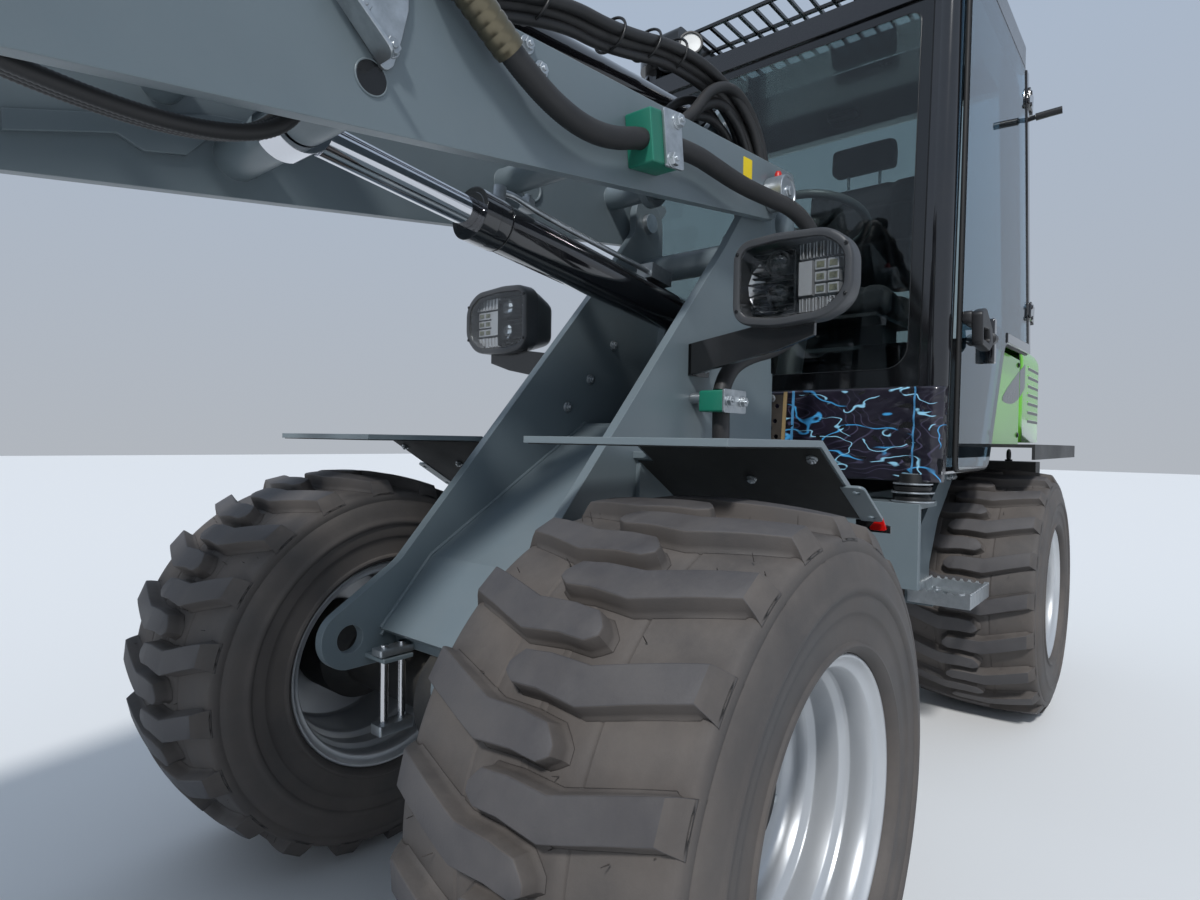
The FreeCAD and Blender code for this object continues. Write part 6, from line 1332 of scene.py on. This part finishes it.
seat_cloth, cloth_tree, cloth_shader = new_material("seat cloth", Sheen_Weight=0.35, Roughness=0.85)
weave = add(cloth_tree, "TexWave", ("Vector", object_place(cloth_tree)), ("Scale", 180.0), ("Distortion", 1.5),
    bands_direction="DIAGONAL").outputs["Fac"]
cloth_cloud = placed(cloth_tree, cloud_group, Colour=colour(44, 46, 52), Second=colour(32, 33, 38), Scale=12.0)
cloth_shade = mixed(cloth_tree, ranged(cloth_tree, weave, 0.2, 0.8), cloth_cloud["Colour"], colour(56, 58, 66))
cloth_tree.links.new(cloth_shade, cloth_shader["Base Color"])
cloth_bump = add(cloth_tree, "Bump", ("Distance", 0.0006), ("Strength", 0.5), ("Height", weave))
cloth_tree.links.new(cloth_bump.outputs["Normal"], cloth_shader["Normal"])


def slab_mesh(name, outline, half_width, pull):
    """A closed slab for a cushion: a side outline in x and z, drawn across the cab, with pulled-in ends."""
    mesh = bpy.data.meshes.new(name)
    work = bmesh.new()
    ends = []
    for y in (-half_width, half_width):
        ends.append([work.verts.new(at(x, y, z)) for x, z in outline])
    middle = Vector((sum(x for x, _ in outline) / len(outline), 0, sum(z for _, z in outline) / len(outline)))
    for ring in ends:
        for vert in ring:
            vert.co = vert.co.lerp(Vector((PIVOT_X + middle.x, vert.co.y, middle.z)), pull)
    for index in range(len(outline)):
        following = (index + 1) % len(outline)
        work.faces.new((ends[0][index], ends[0][following], ends[1][following], ends[1][index]))
    work.faces.new(ends[0][::-1])
    work.faces.new(ends[1])
    bmesh.ops.recalc_face_normals(work, faces=work.faces)
    work.to_mesh(mesh)
    work.free()
    return mesh


def padded_piece(name, outline, half_width, cap, seams, voxel=0.012):
    """A foam cushion: its slab is remeshed, blown up a little as cloth, smoothed, and sewn in lines across."""
    slab = bpy.data.objects.new(name, slab_mesh(name, outline, half_width, 0.10))
    bpy.context.scene.collection.objects.link(slab)
    remesh = slab.modifiers.new("remesh", "REMESH")
    remesh.mode = "VOXEL"
    remesh.voxel_size = voxel
    depsgraph = bpy.context.evaluated_depsgraph_get()
    mesh = bpy.data.meshes.new_from_object(slab.evaluated_get(depsgraph))
    bpy.data.objects.remove(slab)
    pad = bpy.data.objects.new(name, mesh)
    bpy.context.scene.collection.objects.link(pad)
    start = [vertex.co.copy() for vertex in mesh.vertices]
    cloth = pad.modifiers.new("cloth", "CLOTH")
    cloth.settings.use_pressure = True
    cloth.settings.uniform_pressure_force = 4.0
    cloth.settings.effector_weights.gravity = 0.0
    cloth.settings.quality = 4
    for frame_number in range(1, 21):
        bpy.context.scene.frame_set(frame_number)
    depsgraph = bpy.context.evaluated_depsgraph_get()
    moved = [vertex.co.copy() for vertex in pad.evaluated_get(depsgraph).data.vertices]
    pad.modifiers.clear()
    for vertex, before, after in zip(mesh.vertices, start, moved):
        step = after - before
        if step.length > cap:
            step = step.normalized() * cap
        vertex.co = before + step
    bpy.context.scene.frame_set(1)
    normals = [vertex.normal.copy() for vertex in mesh.vertices]
    for vertex, normal in zip(mesh.vertices, normals):
        depth = 0.0
        for axis, place, width in seams:
            value = vertex.co[axis] - (PIVOT_X if axis == 0 else 0.0)
            depth = max(depth, math.exp(-((value - place) / width) ** 2))
        vertex.co -= normal * 0.009 * depth
    smooth = pad.modifiers.new("smooth", "SUBSURF")
    smooth.levels = 1
    smooth.render_levels = 1
    mesh.materials.clear()
    mesh.materials.append(seat_cloth)
    mesh.polygons.foreach_set("use_smooth", [True] * len(mesh.polygons))
    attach(pad, "rear_frame")
    return pad


CUSHION = [(-0.975, 1.302), (-0.580, 1.302), (-0.568, 1.325), (-0.572, 1.370), (-0.620, 1.392), (-0.800, 1.380),
    (-0.930, 1.392), (-0.980, 1.370)]
BACKREST = [(-0.955, 1.390), (-0.890, 1.395), (-0.872, 1.480), (-0.900, 1.620), (-0.925, 1.760), (-0.950, 1.885),
    (-1.020, 1.890), (-1.028, 1.860), (-1.000, 1.640), (-0.975, 1.480)]
HEADREST = [(-1.018, 1.905), (-0.950, 1.905), (-0.935, 1.940), (-0.950, 2.020), (-1.010, 2.025), (-1.024, 1.990)]
cushion = padded_piece("seat_cushion", CUSHION, 0.222, 0.014, [(1, -0.13, 0.008), (1, 0.13, 0.008), (0, -0.70, 0.008)])
backrest = padded_piece("seat_back", BACKREST, 0.212, 0.014, [(1, -0.12, 0.008), (1, 0.12, 0.008), (2, 1.62, 0.008),
    (2, 1.76, 0.008)])
headrest = padded_piece("seat_headrest", HEADREST, 0.118, 0.008, [])
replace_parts(cushion, "seat")
pedestal = []
for low, high in ((at(-0.930, -0.150, 1.2155), at(-0.790, 0.150, 1.300)), (at(-0.960, -0.190, 1.284),
    at(-0.600, 0.190, 1.304))):
    pedestal.append(block(low, high, 0.004))
new_piece("seat_base", "rear_frame", cab_trim, joined(pedestal), smooth=0)
new_piece("headrest_rods", "rear_frame", zinc, joined([tube_mesh([at(-0.982, y, 1.86), at(-0.984, y, 1.93)], 0.006,
    12) for y in (-0.06, 0.06)]))

# Steering wheel: a soft ring on three spokes with a turning knob
wheel_centre = at(-0.520, 0.0, 1.600)
column_foot = at(-0.270, 0.0, 0.804)
column_along = (wheel_centre - column_foot).normalized()
wheel_across = Vector((0, 1, 0))
wheel_up = column_along.cross(wheel_across).normalized()
ring_path = []
for step in range(73):
    turn = 2 * math.pi * step / 72
    ring_path.append(wheel_centre + (wheel_across * math.cos(turn) + wheel_up * math.sin(turn)) * 0.170)
ring = new_piece("steering_ring", "rear_frame", wheel_grip, tube_mesh(ring_path, 0.0135, 16, capped=False),
    smooth=60.0)
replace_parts(ring, "steering_wheel")
spokes = []
for turn in (90, 210, 330):
    out = wheel_across * math.cos(math.radians(turn)) + wheel_up * math.sin(math.radians(turn))
    low = wheel_centre - column_along * 0.030
    spokes.append(tube_mesh([low + out * 0.020, low + out * 0.07, wheel_centre + out * 0.165], 0.009, 12))
hub = [wheel_centre - column_along * reach for reach in (0.052, 0.048, 0.016, 0.010)]
spokes.append(tube_mesh(hub, 0.035, 32, [0.022, 0.034, 0.036, 0.030]))
new_piece("steering_spokes", "rear_frame", cab_trim, joined(spokes), smooth=40.0)
knob_foot = wheel_centre + wheel_across * 0.17 * math.cos(2.3) + wheel_up * 0.17 * math.sin(2.3)
new_piece("steering_knob", "rear_frame", moulded_black, tube_mesh([knob_foot + column_along * reach
    for reach in (0.010, 0.022, 0.030, 0.052, 0.060)], 0.02, 20, [0.008, 0.009, 0.021, 0.022, 0.012]), smooth=50.0)

# Control lever: a rubber gaiter and a grip with buttons
lever_foot = at(-0.610, -0.350, 1.470)
lever_line = [lever_foot + Vector((0.002 * step, 0, 0.008 * step)) for step in range(9)]
new_piece("lever_gaiter", "rear_frame", seal_rubber, tube_mesh(lever_line, 0.03, 28, [0.052 - 0.0045 * step + (0.005
    if step % 2 else 0.0) for step in range(9)]), smooth=50.0)
grip = [at(-0.596, -0.350, 1.545), at(-0.592, -0.350, 1.57), at(-0.588, -0.350, 1.60), at(-0.584, -0.348, 1.632),
    at(-0.580, -0.346, 1.650)]
new_piece("lever_grip", "rear_frame", moulded_black, tube_mesh(grip, 0.026, 28, [0.018, 0.021, 0.033, 0.0345, 0.020]),
    smooth=50.0)
buttons = [at(-0.5755, -0.356, 1.646), at(-0.5755, -0.337, 1.646)]
for number, (place, shade) in enumerate(zip(buttons, (red_plastic, yellow_film))):
    new_piece(f"lever_button_{number}", "rear_frame", shade, tube_mesh([place, place + Vector((0.004, 0, 0.010))],
        0.006, 16))

# Ceiling lamp
pale_plastic = finish("pale plastic", (196, 200, 196), (186, 190, 187), 0.4)
cut_plate("ceiling_lamp", "rear_frame", pale_plastic, [rounded_box(-0.055, -0.022, 0.055, 0.022, 0.006)],
    (at(-0.960, -0.080, 2.141), (0, 1, 0), (1, 0, 0)), 0.012, 0.002)


# Green body: side panels and a one-piece bonnet, moulded in lime green plastic with a clear coat.
# A dark grey sweep of film runs over each side. Louvres and the rear grille let the cooling air out.
green_paint = finish("green paint", (112, 200, 38), (104, 190, 34), 0.22, coat=0.6, dust=0.05)
grey_film = finish("grey film", (52, 58, 62), (44, 50, 54), 0.25, coat=0.5, grain=0.0)
dress(green_paint, "side_panels")

HOOD_SECTION_STEPS = 10
HOOD_FRONT_X = -1.224
HOOD_REAR_X = -1.720
HOOD_LOW_Z = 0.880
HOOD_HIGH_Z = 1.262


def hood_ring(x, inset, drop):
    """Section of the bonnet's skin across the machine at the place x, from the left foot to the right."""
    half = 0.500 - inset
    top = HOOD_HIGH_Z - drop
    radius = 0.075
    ring = [at(x, half, HOOD_LOW_Z), at(x, half, 1.0), at(x, half, 1.12)]
    for step in range(HOOD_SECTION_STEPS + 1):
        turn = math.pi / 2 * step / HOOD_SECTION_STEPS
        ring.append(at(x, half - radius + radius * math.cos(turn), top - radius + radius * math.sin(turn)))
    for y in (0.35, 0.2, 0.07):
        ring.append(at(x, y * half / 0.5, top))
    return ring + [Vector((point.x, -point.y, point.z)) for point in reversed(ring)]


rings = [hood_ring(x, 0.0, 0.0) for x in (HOOD_FRONT_X, -1.30, -1.40, -1.50, -1.60, -1.640)]
for step in range(1, 9):
    turn = math.pi / 2 * step / 8
    rings.append(hood_ring(-1.640 - 0.0795 * math.sin(turn), 0.080 * (1 - math.cos(turn)),
        0.060 * (1 - math.cos(turn))))
count = len(rings[0])
points = [point for ring_points in rings for point in ring_points]
faces = []
for index in range(len(rings) - 1):
    for step in range(count - 1):
        faces.append((index * count + step, (index + 1) * count + step, (index + 1) * count + step + 1,
            index * count + step + 1))
last = (len(rings) - 1) * count
faces.append(tuple(last + step for step in reversed(range(count))))
shell = new_piece("hood_shell", "bonnet", green_paint, (points, faces), smooth=40.0)
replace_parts(shell, "hood")
wall = shell.modifiers.new("wall", "SOLIDIFY")
wall.thickness = 0.0045
wall.offset = -1
rim_line = [at(HOOD_FRONT_X - 0.002, y, z) for y, z in [(0.4965, 0.884),
    (0.4965, 1.183)] + [(0.4215 + 0.075 * math.cos(math.radians(turn)), 1.1835 + 0.075 * math.sin(math.radians(turn)))
    for turn in (15, 30, 45, 60, 75)] + [(0.42, 1.2585)]]
rim_line += [Vector((point.x, -point.y, point.z)) for point in reversed(rim_line)]
new_piece("hood_edge_seal", "bonnet", seal_rubber, tube_mesh(rim_line, 0.0030, 10), smooth=60.0)

for side, word in SIDES:
    # Louvres: a green lip over each slot, and on the closed shell a thin black slab, painted shade for the dark opening
    slot_shades = []
    lips = []
    for step in range(7):
        z = 0.962 + step * 0.034
        slot_shades.append(block(at(-1.640, side * 0.4985, z - 0.006), at(-1.400, side * 0.5003, z + 0.006)))
        lips.append(tube_mesh([at(-1.642, side * 0.499, z + 0.0075), at(-1.398, side * 0.499, z + 0.0075)], 0.0028, 10))
    new_piece(f"hood_slot_shades_{word}", "bonnet", lamp_black, joined(slot_shades), smooth=0)
    new_piece(f"hood_lips_{word}", "bonnet", green_paint, joined(lips), smooth=60.0)

    def sweep(low_x, high_x, samples=24):
        """Outline of the film's sweep between two places along the machine."""
        upper = []
        lower = []
        for index in range(samples + 1):
            x = low_x + (high_x - low_x) * index / samples
            share = (-0.912 - x) / (1.330 - 0.912)
            upper.append(Vector((x, 1.026 + 0.150 * max(0.0, share) ** 0.85)))
            lower.append(Vector((x, 1.016 + 0.070 * max(0.0, min(1.0, share)) ** 2.2
                - 0.012 * math.sin(math.pi * share))))
        return upper + lower[::-1]

    cut_plate(f"sweep_front_{word}", "rear_frame", grey_film, [sweep(-1.2155, -0.914)], side_plane(side * 0.5003),
        0.0008, 0.0002)
    cut_plate(f"sweep_rear_{word}", "bonnet", grey_film, [sweep(-1.330, -1.2245)], side_plane(side * 0.5003), 0.0008,
        0.0002)
    bolts = [at(-0.700, side * 0.5005, 0.905), at(-1.190, side * 0.5005, 0.905), at(-1.190, side * 0.5005, 1.160)]
    bolted(f"panel_bolts_{word}", "rear_frame", bolts, (0, side, 0), 0.005, 0.006, stud=0, washer=1.6,
        material=lamp_black)

# Rear grille: a dark frame with slats, and the pull catch below it
slats = [block(at(-1.7205, -0.356, 0.940), at(-1.7175, 0.356, 0.948)),
    block(at(-1.7205, -0.356, 1.180), at(-1.7175, 0.356, 1.188))]
for y in (-0.356, 0.348):
    slats.append(block(at(-1.7205, y, 0.940), at(-1.7175, y + 0.008, 1.188)))
for step in range(9):
    z = 0.962 + step * 0.024
    slats.append(block(at(-1.7200, -0.348, z), at(-1.7170, 0.348, z + 0.012)))
new_piece("rear_grille", "bonnet", black_paint, joined(slats), smooth=0)
new_piece("hood_catches", "bonnet", zinc, joined([tube_mesh([at(-1.7190, y, 0.905), at(-1.7210, y, 0.905)], 0.014, 28)
    for y in (-0.25, 0.25)]), smooth=30.0)

# Rear lamps: red plastic lenses with ribs on a black base, on the counterweight
red_lens = clear("red lens", (180, 12, 10), 0.1, 0.5, 0.5)
dress(red_lens, "rear_lamps")
ribs = []
for side in (-1, 1):
    for step in range(6):
        y = side * 0.370 - 0.032 + step * 0.0128
        ribs.append(block(at(-1.7745, y - 0.0016, 0.694), at(-1.7735, y + 0.0016, 0.746)))
new_piece("rear_lamp_ribs", "rear_frame", red_lens, joined(ribs), smooth=0)
